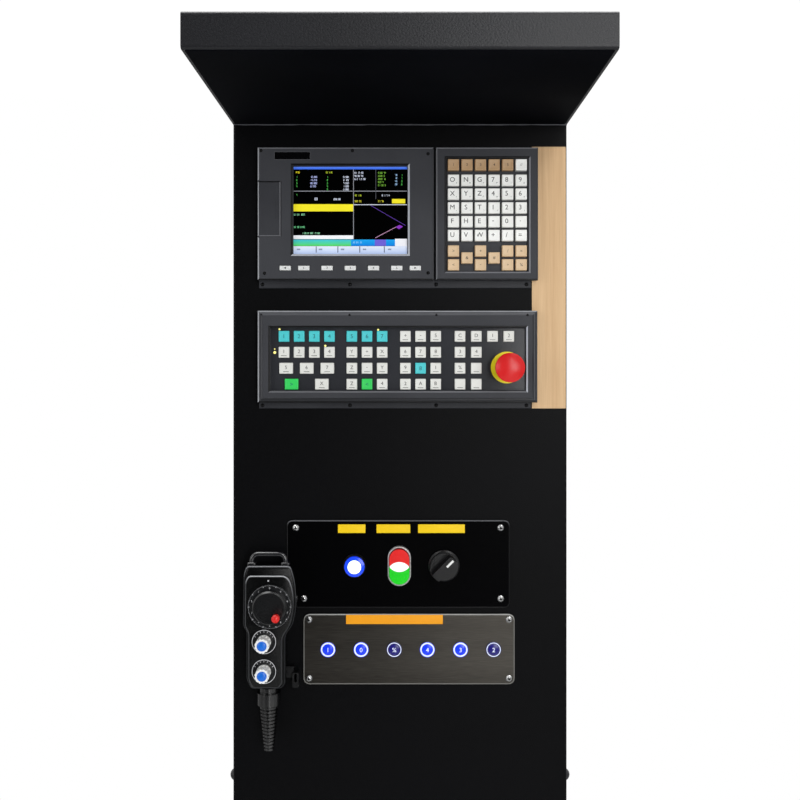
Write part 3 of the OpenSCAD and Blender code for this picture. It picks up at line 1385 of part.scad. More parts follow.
// Fluted knob with its cap, standing at the height z
module pendant_knob(z) {
    color([0.86, 0.86, 0.84]) difference() {
        union() {
            rod(knob_x, pendant_y + 9, z, knob_shaft_d, 11);
            rod(knob_x, pendant_y - 1.2, z, knob_d, knob_h - 1.2);
        }
        for (a = [0:30:330])
            facing(knob_x, pendant_y - 5, z) rotate([0, 0, a]) translate([knob_d / 2 + 0.6, 0, 0])
                cylinder(d = 3, h = knob_h);
        rod(knob_x, pendant_y - knob_h + 1.5, z, cap_d, 4);
    }
    color([0.15, 0.30, 0.70]) facing(knob_x, pendant_y - knob_h + 1.5, z) {
        cylinder(d = cap_d, h = 2);
        translate([0, 0, 2]) dome(cap_d / 2, 1);
    }
}

// Upper and lower knob of the pendant
module axis_knob() pendant_knob(knob_zs[0]);
module rate_knob() pendant_knob(knob_zs[1]);

// Grip button on the pendant's left side
module enable_button() color([0.16, 0.16, 0.17]) {
    translate([pendant_x - head_w / 2 - 2, pendant_mid - enable_w / 2, enable_z - enable_h / 2])
        cube([5.6 - enable_travel, enable_w, enable_h]);
    translate([pendant_x - head_w / 2, pendant_mid, enable_z]) rotate([0, 90, 0])
        cylinder(d = 4, h = 9);
}

// Collar and ribbed flex boot under the pendant
module pendant_gland() color([0.09, 0.09, 0.10])
    translate([gland_x, pendant_mid, pendant_z]) rotate([180, 0, 0]) difference() {
        union() {
            cylinder(d = collar_d * 0.79, h = neck_h + 0.5);
            translate([0, 0, neck_h]) cylinder(d = collar_d, h = collar_h);
            translate([0, 0, neck_h + collar_h - 0.5])
                cylinder(d1 = boot_d - 4, d2 = boot_end_d - 3, h = boot_h);
            for (i = [0:boot_ribs - 1])
                translate([0, 0, neck_h + collar_h + (i + 0.4) * boot_h / boot_ribs])
                    cylinder(d = boot_d + (boot_end_d - boot_d) * i / (boot_ribs - 1), h = boot_h / boot_ribs * 0.55);
        }
        translate([0, 0, 4]) cylinder(d = boot_bore_d, h = collar_h + boot_h + 10);
    }

// Holder that keeps the pendant off the front, with a small hook beside it
module pendant_holder() color([0.12, 0.12, 0.13]) {
    front(front_y, holder_t) translate([pendant_x - 2, pendant_z + pendant_h * 0.477])
        rounded(grip_w * 0.667, pendant_h * 0.756, 5);
    front(front_y, holder_t) translate([pendant_x - 12, pendant_z + 6]) square([grip_w * 0.85, pendant_h * 0.093]);
    front(front_y, holder_t + 8) translate([pendant_x + grip_w * 0.685, pendant_z + 5]) difference() {
        rounded(9, 21, 2);
        translate([0, 3]) rounded(3.6, 12, 1);
    }
}

cabinet_shell();
roof_hood();
base_plinth();
side_bolts();
rear_door();
hinge_pins();
door_lock();
vent_grilles();
mounting_plate();
servo_drives();
rail_devices();
wiring_ducts();
control_case();
display_bezel();
lcd_panel();
soft_keys();
card_door();
mdi_bezel();
mdi_white_keys();
mdi_tan_keys();
operator_case();
operator_bezel();
operator_overlay();
operator_white_keys();
operator_colour_keys();
estop_plate();
estop_body();
estop_plunger();
estop_head();
trim_strip();
panel_screws();
button_plate();
lamp_housing();
lamp_button();
twin_housing();
stop_button();
start_button();
twin_lens();
selector_housing();
selector_knob();
label_tags();
steel_plate();
steel_button_rings();
push_button_1();
push_button_2();
push_button_3();
push_button_4();
push_button_5();
push_button_6();
plate_screws();
pendant_body();
pendant_hanger();
pendant_scales();
pendant_dial();
dial_spinner();
axis_knob();
rate_knob();
enable_button();
pendant_gland();
pendant_holder();
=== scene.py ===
import bpy
import numpy as np
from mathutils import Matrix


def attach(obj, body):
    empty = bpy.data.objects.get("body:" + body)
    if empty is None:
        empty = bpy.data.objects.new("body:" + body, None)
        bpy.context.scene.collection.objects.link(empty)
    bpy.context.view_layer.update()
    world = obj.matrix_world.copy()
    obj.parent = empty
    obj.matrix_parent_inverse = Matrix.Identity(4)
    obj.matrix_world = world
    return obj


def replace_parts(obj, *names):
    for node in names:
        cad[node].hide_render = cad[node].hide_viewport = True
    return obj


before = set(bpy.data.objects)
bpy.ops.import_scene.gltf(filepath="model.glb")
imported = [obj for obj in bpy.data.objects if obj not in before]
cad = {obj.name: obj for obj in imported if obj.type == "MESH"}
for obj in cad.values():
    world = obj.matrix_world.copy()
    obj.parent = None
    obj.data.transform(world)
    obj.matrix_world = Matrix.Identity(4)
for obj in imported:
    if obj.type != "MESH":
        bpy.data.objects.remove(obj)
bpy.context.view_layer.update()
scene = bpy.context.scene
scene.view_settings.view_transform = "Standard"

# Studio: a pale painted floor, a plain white surround and soft lamps in front of the console.
# The room behind the camera is dim and a soft box hangs above: faces mirror little, and edges catch light.
# The camera stands level at eye height, straight in front, and looks a little downwards by its shift.
eye = bpy.data.objects.new("eye", bpy.data.cameras.new("eye"))
eye.location = (0, -1.45, 1.28)
eye.rotation_euler = (np.pi / 2, 0, 0)
eye.data.lens = 38.98
eye.data.sensor_width = 36
eye.data.shift_y = -0.045
eye.data.clip_end = 60
scene.collection.objects.link(eye)
scene.camera = eye


def lamp(name, place, aim, size, power):
    """Soft square lamp at place, turned so that its face looks at aim."""
    data = bpy.data.lights.new(name, "AREA")
    data.size = size
    data.energy = power
    obj = bpy.data.objects.new(name, data)
    line = np.array(aim, float) - np.array(place, float)
    tilt = np.arctan2(np.hypot(line[0], line[1]), -line[2])
    obj.location = place
    obj.rotation_euler = (tilt, 0, np.arctan2(-line[0], line[1]))
    scene.collection.objects.link(obj)


lamp("front_lamp", (1.3, -3.1, 1.4), (0.0, -0.2, 1.2), 1.5, 40)
lamp("side_lamp", (-2.4, -2.2, 1.5), (-0.1, -0.2, 1.1), 1.4, 17)
lamp("high_lamp", (0.85, -3.1, 2.75), (0.0, -0.4, 1.5), 0.6, 13)
lamp("low_lamp", (0.4, -2.4, 0.3), (0.1, -0.2, 0.95), 0.45, 2.4)
lamp("back_lamp", (1.2, 2.6, 2.6), (0.0, 0.2, 1.0), 1.6, 34)


def node(tree, kind, inputs=None, **settings):
    """New node's outputs: settings are its properties, inputs holds values or the outputs that feed it."""
    made = tree.nodes.new("ShaderNode" + kind)
    for name, value in settings.items():
        setattr(made, name, value)
    for name, value in (inputs or {}).items():
        if isinstance(value, bpy.types.NodeSocket):
            tree.links.new(value, made.inputs[name])
        else:
            made.inputs[name].default_value = value
    return made.outputs


world = bpy.data.worlds.new("surround")
scene.world = world
world.use_nodes = True
tree = world.node_tree
sky = tree.nodes["Background"]
sky.inputs["Color"].default_value = (0.8, 0.82, 0.85, 1)
sky.inputs["Strength"].default_value = 0.46
path = node(tree, "LightPath")
way = node(tree, "SeparateXYZ", {0: node(tree, "TexCoord")["Generated"]})
room = node(tree, "MapRange", {"Value": way["Y"], "From Min": -0.85, "From Max": -0.1})
ground = node(tree, "MapRange", {"Value": way["Z"], "From Min": -0.6, "From Max": 0.3})
zenith = node(tree, "MapRange", {"Value": way["Z"], "From Min": 0.7, "From Max": 0.95,
                                 "To Min": 1, "To Max": 7})
even = node(tree, "Math", {0: room[0], 1: ground[0]}, operation="MULTIPLY")
dim = node(tree, "Math", {0: even[0], 1: zenith[0], 2: 0.03}, operation="MULTIPLY_ADD")
bare = node(tree, "Math", {0: path["Is Camera Ray"], 1: dim[0]}, operation="MAXIMUM")
white = node(tree, "Background", {"Color": (1, 1, 1, 1), "Strength": bare[0]})
seen = node(tree, "Math", {0: path["Is Camera Ray"], 1: path["Is Glossy Ray"]}, operation="MAXIMUM")
shown = node(tree, "Math", {0: seen[0], 1: path["Is Transmission Ray"]}, operation="MAXIMUM")
choice = node(tree, "MixShader", {0: shown[0], 1: sky.outputs[0], 2: white[0]})
tree.links.new(choice[0], tree.nodes["World Output"].inputs["Surface"])


# Finishes share one grain: a fine and a broad noise that move colour, roughness and relief a little.
# It is the orange peel of a powder coat, the spark pattern of moulded plastic or the marks of brushing.
# Dust lies on what looks upwards. The floor is the first to be painted.
def rgb(red, green, blue):
    """Linear colour from the 0 to 255 values of a paint card: (c / 255) to the power 2.2."""
    return tuple((np.array([red, green, blue]) / 255.0) ** 2.2) + (1.0,)


def group(name, given, result):
    """Empty shader group with these sockets: its tree, what it is given and what it puts out."""
    tree = bpy.data.node_groups.new(name, "ShaderNodeTree")
    for side, sockets in (("INPUT", given), ("OUTPUT", result)):
        for socket, kind in sockets.items():
            tree.interface.new_socket(socket, in_out=side, socket_type="NodeSocket" + kind)
    return tree, tree.nodes.new("NodeGroupInput").outputs, tree.nodes.new("NodeGroupOutput").inputs


grain, given, result = group("surface_grain",
                             {"Vector": "Vector", "Fine": "Float", "Broad": "Float", "Depth": "Float"},
                             {"Tone": "Float", "Speck": "Float", "Normal": "Vector"})
fine = node(grain, "TexNoise", {"Vector": given["Vector"], "Scale": given["Fine"], "Detail": 3})
broad = node(grain, "TexNoise", {"Vector": given["Vector"], "Scale": given["Broad"], "Detail": 2})
share = node(grain, "Math", {0: broad[0], 1: 0.6}, operation="MULTIPLY")
blend = node(grain, "Math", {0: fine[0], 1: 0.4, 2: share[0]}, operation="MULTIPLY_ADD")
spread = node(grain, "MapRange", {"Value": blend[0], "From Min": 0.32, "From Max": 0.68})
relief = node(grain, "Bump", {"Height": fine[0], "Strength": given["Depth"], "Distance": 0.0004})
for socket, value in (("Tone", spread[0]), ("Speck", fine[0]), ("Normal", relief[0])):
    grain.links.new(value, result[socket])

dust, given, result = group("settled_dust", {"Vector": "Vector"}, {"Amount": "Float"})
cloud = node(dust, "TexNoise", {"Vector": given["Vector"], "Scale": 34, "Detail": 6})
split = node(dust, "SeparateXYZ", {0: node(dust, "NewGeometry")["Normal"]})
level = node(dust, "MapRange", {"Value": split["Z"], "From Min": 0.5})
amount = node(dust, "Math", {0: level[0], 1: cloud[0]}, operation="MULTIPLY")
dust.links.new(amount[0], result["Amount"])


def finish(name, colour, tone, rough=(0.4, 0.55), fine=900, broad=9, depth=0.25, stretch=(1, 1, 1),
           shine=0.5, tint=False, dusty=False, **sockets):
    """Material that runs from colour to tone and over the roughness rough by the shared grain.

    fine and broad are the scales of the grain's noises, depth is its relief and shine the specular level.
    tint multiplies in the piece's own colour attribute, dusty greys what looks upwards, and the other
    sockets are set as they are.
    """
    material = bpy.data.materials.new(name)
    material.use_nodes = True
    tree = material.node_tree
    shader = tree.nodes["Principled BSDF"].inputs
    place = node(tree, "TexCoord")["Object"]
    turn = node(tree, "Mapping", {"Vector": place, "Scale": stretch})
    skin = node(tree, "Group", {"Vector": turn[0], "Fine": fine, "Broad": broad, "Depth": depth},
                node_tree=grain)
    polish = node(tree, "MapRange", {"Value": skin["Speck"], "To Min": rough[0], "To Max": rough[1]})
    last = node(tree, "Mix", {"Factor": skin["Tone"], "A": colour, "B": tone}, data_type="RGBA")["Result"]
    if tint:
        own = node(tree, "Attribute", attribute_name="tint")
        last = node(tree, "Mix", {"Factor": 1, "A": last, "B": own["Color"]},
                    data_type="RGBA", blend_type="MULTIPLY")["Result"]
        if "Emission_Strength" in sockets:
            tree.links.new(last, shader["Emission Color"])
    if dusty:
        film = node(tree, "Group", {"Vector": place}, node_tree=dust)
        thin = node(tree, "Math", {0: film[0], 1: 0.22}, operation="MULTIPLY")
        last = node(tree, "Mix", {"Factor": thin[0], "A": last, "B": rgb(150, 146, 138)},
                    data_type="RGBA")["Result"]
    for socket, value in (("Base Color", last), ("Roughness", polish[0]), ("Normal", skin["Normal"])):
        tree.links.new(value, shader[socket])
    shader["Specular IOR Level"].default_value = shine
    for socket, value in sockets.items():
        shader[socket.replace("_", " ")].default_value = value
    return material


def dress(material, *names):
    """Gives CAD nodes this material in every slot they have."""
    for name in names:
        slots = cad[name].data.materials
        slots.clear()
        slots.append(material)


def put(name, points, faces, slot, material, body="console", smooth=True, tint=None):
    """Piece at the origin from points in mm and faces, with a material, on a body; slot is not used."""
    mesh = bpy.data.meshes.new(name)
    mesh.from_pydata((np.asarray(points, float) / 1000).tolist(), [], faces)
    mesh.polygons.foreach_set("use_smooth", np.full(len(mesh.polygons), smooth))
    if tint is not None:
        own = mesh.attributes.new("tint", "FLOAT_COLOR", "POINT")
        own.data.foreach_set("color", np.asarray(tint, np.float32).ravel())
    mesh.materials.append(material)
    mesh.update()
    obj = bpy.data.objects.new(name, mesh)
    scene.collection.objects.link(obj)
    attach(obj, body)
    return obj


floor_points = [[-1.7, -1.9, 0], [1.7, -1.9, 0], [1.7, 1, 0], [-1.7, 1, 0]]
floor_mesh = bpy.data.meshes.new("studio_floor")
floor_mesh.from_pydata(floor_points, [], [[0, 1, 2, 3]])
floor_mesh.materials.append(finish("floor_paint", rgb(236, 236, 234), rgb(228, 228, 227), (0.6, 0.75),
                                   60, 2, 0.05))
studio_floor = bpy.data.objects.new("studio_floor", floor_mesh)
scene.collection.objects.link(studio_floor)

# Cabinet: shell, rear door and plinth folded and welded from 2 mm sheet, then powder coated satin black.
# The coat has a fine orange peel, and dust lies where the sheet looks upwards.
dress(finish("black_powder_coat", rgb(3, 4, 7), rgb(8, 9, 13), (0.38, 0.56), 700, 5, 0.5, dusty=True,
             shine=0.1), "cabinet_shell", "rear_door", "base_plinth")
dress(finish("bolt_black", rgb(26, 26, 28), rgb(48, 48, 51), (0.3, 0.45), 700, 60, 0.2,
             shine=0.45), "side_bolts")

# Hood: a folded sheet box that reaches out over the controls and keeps light and chips off them.
# Its coat is a smoother dark grey than the cabinet's, and its top gathers dust. Between the folds below
# it lies a darker matt sheet whose colour is painted shade, and the joint with the cabinet is drawn full
# with a sealant bead whose light grey is a painted highlight.
cabinet_y, underside_z = -200, 1626
dress(finish("hood_grey_coat", rgb(22, 22, 25), rgb(34, 35, 39), (0.32, 0.48), 420, 3, 0.7, dusty=True,
             shine=0.44), "roof_hood")


def rounded_outline(corners, steps=6):
    """Closed outline, anticlockwise from the front, of corners (x, z, radius).

    A corner P is left at A and reached again at B, a radius before and after it, on the curve
    (1 - t)^2 A + 2 t (1 - t) P + t^2 B.
    """
    corners = np.array(corners, float)
    middle, radius = corners[:, None, :2], corners[:, None, 2:]
    back = np.roll(corners[:, :2], 1, axis=0)[:, None] - middle
    ahead = np.roll(corners[:, :2], -1, axis=0)[:, None] - middle
    start = middle + back / np.linalg.norm(back, axis=2, keepdims=True) * radius
    end = middle + ahead / np.linalg.norm(ahead, axis=2, keepdims=True) * radius
    t = np.linspace(0, 1, steps)[None, :, None]
    return ((1 - t) ** 2 * start + 2 * t * (1 - t) * middle + t ** 2 * end).reshape(-1, 2)


def box_outline(x0, z0, x1, z1, radius):
    """Rectangle with round corners as such an outline."""
    return rounded_outline([(x0, z0, radius), (x1, z0, radius), (x1, z1, radius), (x0, z1, radius)])


def ring_faces(rows, around):
    """Quads from each closed row of points to the next one, and the points' numbers row by row."""
    at = np.arange(rows * around).reshape(rows, around)
    near = np.roll(at, -1, axis=1)
    return np.stack([at[:-1], near[:-1], near[1:], at[1:]], axis=-1).reshape(-1, 4).tolist(), at


def pressed(outline, rings, y, closed=True):
    """Rings (inset, rise) of an outline, each drawn in along its normal and standing out before y."""
    rings = np.array(rings, float)
    run = np.roll(outline, -1, axis=0) - np.roll(outline, 1, axis=0)
    inward = np.stack([-run[:, 1], run[:, 0]], axis=1) / np.linalg.norm(run, axis=1)[:, None]
    flat = outline[None] + rings[:, :1, None] * inward[None]
    out = np.broadcast_to(y - rings[:, 1:], flat.shape[:2])
    points = np.stack([flat[..., 0], out, flat[..., 1]], axis=-1)
    faces, at = ring_faces(*flat.shape[:2])
    return points.reshape(-1, 3), faces + ([at[-1].tolist()] if closed else [])


# The sheet under the hood is coloured darker than the hood's coat: its colour is painted shade.
points, faces = pressed(box_outline(-237.5, 202.4, 237.5, 496.5, 3), [(0, 0), (0, 0.4), (0.3, 0.7)], 0)
points = np.column_stack([points[:, 0], -points[:, 2], underside_z + points[:, 1]])
put("hood_underside_shade_sheet", points, faces, "hood_coat",
    finish("underside_painted_shade", rgb(14, 15, 18), rgb(22, 23, 27), (0.8, 0.95), 500, 6, 0.3, shine=0.03))


def corner_bead(xs, y, z, steps=7):
    """Bead along xs in the corner y, z: at the angle t it passes y - r sin t, z - r cos t.

    Drawn by hand, its radius is r = 1.6 + 0.25 sin(x / 17) + 0.2 sin(x / 5.3).
    """
    t = np.linspace(0, np.pi / 2, steps)
    xs = xs[:, None]
    radius = 1.6 + (0.25 * np.sin(xs / 17) + 0.2 * np.sin(xs / 5.3))
    points = np.stack([xs + 0 * t, y - np.sin(t) * radius, z - np.cos(t) * radius], axis=-1)
    at = np.arange(len(xs) * steps).reshape(-1, steps)
    faces = np.stack([at[:-1, :-1], at[:-1, 1:], at[1:, 1:], at[1:, :-1]], axis=-1)
    return points.reshape(-1, 3), faces.reshape(-1, 4).tolist()


# The seam bead is a sealant bead; its light grey is a painted highlight along the joint.
put("roof_seam", *corner_bead(np.linspace(-240.6, 240.6, 97), cabinet_y, underside_z), "rubber",
    finish("sealant_painted_highlight", rgb(58, 59, 64), rgb(84, 85, 90), (0.4, 0.55), 600, 40, 0.2))

# Door fittings: turned steel hinge pins, a die-cast quarter-turn lock and moulded louvre grilles.
# Pins and lock are zinc plated; the grilles are clipped into cut-outs of the door.
zinc = finish("zinc_plate", rgb(168, 170, 172), rgb(196, 196, 192), (0.28, 0.45), 420, 40, 0.2,
              Metallic=1.0)
dress(zinc, "hinge_pins", "door_lock")
dress(finish("grille_plastic", rgb(30, 31, 33), rgb(44, 45, 47), (0.5, 0.65), 1100, 20, 0.3, dusty=True),
      "vent_grilles")

# Electrical fit-out behind the rear door: drives, rail devices and slotted wiring ducts on a plate.
# The plate is galvanised sheet; housings and ducts are moulded plastic.
dress(finish("galvanised_plate", rgb(172, 175, 176), rgb(205, 206, 204), (0.35, 0.6), 55, 22, 0.12,
             Metallic=0.85), "mounting_plate")
dress(finish("drive_plastic", rgb(70, 72, 76), rgb(84, 86, 90), (0.45, 0.6), 1000, 12, 0.3), "servo_drives")
dress(finish("device_plastic", rgb(196, 196, 190), rgb(212, 211, 204), (0.42, 0.55), 900, 14, 0.2),
      "rail_devices")
dress(finish("duct_plastic", rgb(150, 154, 158), rgb(164, 167, 170), (0.5, 0.62), 900, 10, 0.25),
      "wiring_ducts")

# Control unit: a sheet steel flange and case behind two moulded charcoal bezels, screwed on from the front.
# The bezels hold the screen with its soft keys and card door on the left and the keypad on the right.
bezel_y = -214
dress(finish("case_steel", rgb(40, 41, 44), rgb(56, 57, 61), (0.36, 0.5), 1200, 9, 0.3,
             shine=0.2), "control_case", "operator_case")
dress(finish("charcoal_bezel", rgb(52, 53, 57), rgb(66, 67, 71), (0.42, 0.56), 1700, 7, 0.35,
             shine=0.2), "display_bezel", "mdi_bezel", "operator_bezel")
dress(finish("card_door_plastic", rgb(49, 50, 54), rgb(62, 63, 67), (0.38, 0.5), 1500, 14, 0.3,
             shine=0.2), "card_door")
screw_black = finish("black_oxide", rgb(10, 10, 11), rgb(20, 20, 22), (0.3, 0.45), 500, 90, 0.2,
                     shine=0.15)
dress(screw_black, "panel_screws")


# Name plate: a bare black anodised strip set into the display bezel's top left corner.
# It is a thin punched plate with a bright cut edge, stuck on.
def sheet_of_patches(patches, y):
    """Flat upright rectangles (x0, z0, x1, z1, colour, layer, colour at the top) before the plane y.

    Layer n stands on the plane y - 0.05 n.
    """
    boxes = np.array([p[:4] for p in patches], float)
    depth = y - 0.05 * np.array([p[5] for p in patches], float)
    xs = boxes[:, [0, 2, 2, 0]]
    zs = boxes[:, [1, 1, 3, 3]]
    ys = np.repeat(depth[:, None], 4, axis=1)
    points = np.stack([xs, ys, zs], axis=2).reshape(-1, 3)
    faces = np.arange(len(patches) * 4).reshape(-1, 4).tolist()
    low = np.array([p[4] for p in patches], float)
    high = np.array([p[6] if len(p) > 6 else p[4] for p in patches], float)
    return points, faces, np.stack([low, low, high, high], axis=1).reshape(-1, 4)


cut_edge, plate_face = rgb(96, 97, 100), rgb(12, 12, 14)
points, faces, tint = sheet_of_patches([(-179.5, 1571.5, -128, 1583, cut_edge, 0),
                                        (-179.0, 1572.0, -128.5, 1582.5, plate_face, 1)], bezel_y - 0.05)
put("name_plate", points, faces, "black_plastic",
    finish("anodised_black", (1, 1, 1, 1), (0.86, 0.86, 0.86, 1), (0.22, 0.34), 600, 30, 0.1, tint=True,
           shine=0.1), tint=tint)


# Bezel edges: the mouldings end in a small bead, tinted with painted light: a painted highlight on the left
# and on top, painted shade on the right and below. The window lips are chamfered; their tints are a painted
# shadow on the left and on top and a painted reflection on the right and below.
def bead(x0, z0, x1, z1, wide, tones, sides=(0, 1, 2, 3), y=bezel_y):
    """Mitred frame inside a rectangle, with one tone a side from the left one round by the top.

    Point k of its arc lies wide (1 - cos a) / 2 inside the edge and wide sin a / 5 before the plane y.
    """
    a = np.linspace(0, np.pi, 7)
    inset = wide * (1 - np.cos(a)) / 2
    low = np.stack([x0 + inset, x1 - inset], axis=1)
    high = np.stack([z0 + inset, z1 - inset], axis=1)
    corner_x = np.stack([low[:, 0], low[:, 0], low[:, 1], low[:, 1]], axis=1)
    corner_z = np.stack([high[:, 0], high[:, 1], high[:, 1], high[:, 0]], axis=1)
    out = np.broadcast_to((y - wide * np.sin(a) / 5)[:, None], (7, 4))
    ends = np.stack([corner_x, out, corner_z], axis=-1)
    runs = np.stack([ends, np.roll(ends, -1, axis=1)], axis=2).transpose(1, 0, 2, 3)
    at = np.arange(56).reshape(4, 7, 2)[list(sides)]
    faces = np.stack([at[:, :-1, 0], at[:, 1:, 0], at[:, 1:, 1], at[:, :-1, 1]], axis=-1).reshape(-1, 4)
    return runs.reshape(-1, 3), faces.tolist(), np.repeat(np.array(tones, float), 14, axis=0)


def gather(parts):
    """One mesh from several (points, faces) by counting the faces on."""
    sizes = np.cumsum([0] + [len(p[0]) for p in parts])
    return (np.concatenate([p[0] for p in parts]),
            [[i + int(n) for i in f] for p, n in zip(parts, sizes) for f in p[1]])


# These tones are painted light: highlights and shade on the beads, shadow and reflection on the window
# lips.
bright_edge, mid_edge, dull_edge = rgb(158, 160, 164), rgb(104, 105, 109), rgb(56, 57, 61)
dark_edge, lip_painted_reflection = rgb(18, 18, 20), rgb(178, 182, 190)
unit_tones = (bright_edge, mid_edge, dull_edge, dark_edge)
keypad_lip = (dark_edge, dark_edge, rgb(128, 129, 134), rgb(112, 113, 118))
panel_step = (dull_edge, rgb(88, 89, 93), dull_edge, rgb(44, 45, 48))
edge = 1.9
beads = [bead(-203, 1400, 48, 1589, edge, unit_tones, (1, 2, 3)),
         bead(-203, 1400, 48, 1461.5, edge, unit_tones, (0,)),
         bead(-203, 1541.5, 48, 1589, edge, unit_tones, (0,)),
         bead(51.4, 1400, 197, 1589, edge, (mid_edge, mid_edge, dull_edge, dark_edge)),
         bead(-156.0, 1434.2, 14.0, 1566.0, 2.8, (dark_edge, dark_edge, lip_painted_reflection, lip_painted_reflection)),
         bead(63.6, 1409.6, 186.4, 1576.4, 2.2, keypad_lip),
         bead(-203, 1225, 196, 1356, edge, (bright_edge, bright_edge, dull_edge, dark_edge)),
         bead(-201.2, 1226.6, 194.2, 1354.4, 5.0, panel_step),
         bead(-188, 1239, 182.6, 1334.6, 2.6, (dark_edge, dark_edge, lip_painted_reflection, mid_edge))]
points, faces = gather([b[:2] for b in beads])
bead_painted_light = finish("bead_painted_light", (1, 1, 1, 1), (0.8, 0.8, 0.8, 1), (0.3, 0.44), 900, 30, 0.1, tint=True,
                     shine=0.3)
put("bezel_beads", points, faces, "bezel_plastic", bead_painted_light,
    tint=np.concatenate([b[2] for b in beads]))
# Painted light on the card door's bead: a painted highlight on the left and painted shade on top.
points, faces, tint = bead(-202.9, 1462.3, -170.5, 1540.7, 1.5,
                           (bright_edge, dark_edge, mid_edge, mid_edge))
put("card_door_bead", points, faces, "bezel_plastic", bead_painted_light, body="card_door", tint=tint)

# Screen: a liquid crystal panel behind clear film, lit from behind.
# Its picture is made of plain fields of colour, frame lines and rows of digits.
segment = {"a": (0, 2, 1, 2), "b": (1, 1, 1, 2), "c": (1, 0, 1, 1), "d": (0, 0, 1, 0), "e": (0, 0, 0, 1),
           "f": (0, 1, 0, 2), "g": (0, 1, 1, 1)}
digit_strokes = {"0": "abcdef", "1": "bc", "2": "abdeg", "3": "abcdg", "4": "bcfg", "5": "acdfg",
                 "6": "acdefg", "7": "abc", "8": "abcdefg", "9": "abcdfg", "-": "g", " ": ""}


def number_row(text, x, z, tall, colour, layer=3):
    """Row of seven-stroke digits from x to the right on the line z: each stroke is a thin rectangle."""
    half = tall / 2
    thick = tall * 0.1
    out = []
    for place, sign in enumerate(text):
        left = x + place * tall * 0.72
        if sign == ".":
            out.append((left, z, left + 2 * thick, z + 2 * thick, colour, layer))
        for stroke in digit_strokes.get(sign, ""):
            x0, z0, x1, z1 = segment[stroke]
            out.append((left + x0 * half - thick, z + z0 * half - thick, left + x1 * half + thick,
                        z + z1 * half + thick, colour, layer))
    return out


def at_point(x, y):
    """Place (x, z) in millimetres of a point of the picture: a point is 1.434 mm, and y runs down."""
    return (x - 400) * 1.434, 1280 + (364 - y) * 1.434


def on_screen(left, top, right, foot):
    """Corners (x0, z0, x1, z1) of a field given in points."""
    return (*at_point(left, foot), *at_point(right, top))


def upright(flat, y):
    """Points (x, z) stood on the plane y."""
    return np.column_stack([flat[:, 0], np.full(len(flat), y), flat[:, 1]])


yellow, green, paper, rule = rgb(250, 236, 50), rgb(96, 206, 96), rgb(226, 232, 244), rgb(150, 152, 158)
olive, mustard, mint = rgb(190, 206, 60), rgb(214, 208, 60), rgb(150, 220, 176)
patches = [(293.7, 165.6, 407.2, 169.4, rgb(60, 108, 240), 1, rgb(110, 150, 250)),
           (291.7, 190.8, 407.2, 191.5, rule, 1),
           (353.2, 169.4, 353.8, 239, rule, 1),
           (375.6, 169.4, 376.0, 199, rgb(96, 98, 104), 1),
           (353.5, 204.4, 407.2, 205.1, paper, 1),
           (293.4, 204.2, 353.2, 211.4, yellow, 1),
           (392.0, 199.0, 405.2, 203.4, yellow, 1),
           (293.4, 235.4, 353.2, 239.1, rgb(246, 248, 250), 1),
           (293.4, 239.6, 351.0, 245.9, rgb(92, 220, 96), 1, rgb(70, 196, 214)),
           (351.0, 239.6, 395.0, 245.9, rgb(24, 132, 226), 1, rgb(40, 164, 236)),
           (374.8, 239.6, 386.0, 245.9, rgb(112, 100, 212), 2),
           (395.0, 238.8, 407.2, 247.0, rgb(246, 247, 250), 1),
           (293.4, 246.2, 407.2, 254.6, rgb(186, 208, 250), 1, rgb(232, 240, 252))]
fields = [(-152.4, 1437.6, 10.4, 1562.4, rgb(7, 8, 8), 0)]
fields += [(*on_screen(*p[:4]), *p[4:]) for p in patches]
fields += [(*on_screen(x - 0.4, 246.4, x + 0.4, 252.6), rgb(70, 78, 104), 2)
           for x in (316.2, 337.9, 359.8, 384.3)]
columns = [(295.4, 171.6, yellow, ("1470",)), (325.9, 171.6, olive, ("62 418",)),
           (296.4, 176.2, green, ("1", "2", "3", "4")), (327.0, 176.2, green, ("1", "2", "3", "4", "5")),
           (310.6, 176.2, rgb(196, 204, 246), ("12.640", "-4.215", "80.000", "0.375")),
           (343.4, 176.2, paper, ("0.500", "2.125", "7.250", "1.000", "3.600")),
           (354.6, 172.0, paper, ("54 17 90", "40 80 49", "6.2 1.5 08")),
           (378.2, 172.0, rgb(128, 186, 70), ("0128 74", "5500 3", "2000 16", "820 4", "61 50 9")),
           (395.2, 174.2, rgb(170, 206, 236), ("70", "12", "45", "08")),
           (401.4, 174.2, green, ("1", "7", "3", "6")), (296.4, 194.2, green, ("7",)),
           (314.8, 198.4, paper, ("03",)), (333.0, 198.4, paper, ("1250 80",)),
           (354.8, 194.6, olive, ("42 118",)), (382.0, 194.6, paper, ("8 1 7 4",)),
           (354.8, 200.4, mustard, ("960 00",)), (378.2, 200.4, mustard, ("31 75",)),
           (294.0, 213.8, mint, ("01 54 1207",)), (294.0, 226.2, rgb(120, 212, 150), ("02 90 0145",)),
           (302.2, 232.4, mint, ("1 28 0 450 17 60",)), (353.0, 241.6, rgb(150, 214, 250), ("20 64 18",))]
for left, top, colour, rows in columns:
    for row, text in enumerate(rows):
        x, z = at_point(left, top + row * 3.1)
        fields += number_row(text, x, z - 2.4, 3.0 if text == "03" else 2.2, colour)
for x in (297, 319, 341, 363, 388):
    fields += number_row("8888", *at_point(x, 250), 1.7, rgb(120, 130, 158), 4)
picture_y, path_y = -208.05, -208.3
picture = sheet_of_patches(fields, picture_y)
paths = np.array([[[370.6, 205.4], [405.4, 225.5]], [[375.3, 238.0], [396.6, 226.7]]])
ends = np.stack(at_point(paths[..., 0], paths[..., 1]), axis=-1)
along = ends[:, 1] - ends[:, 0]
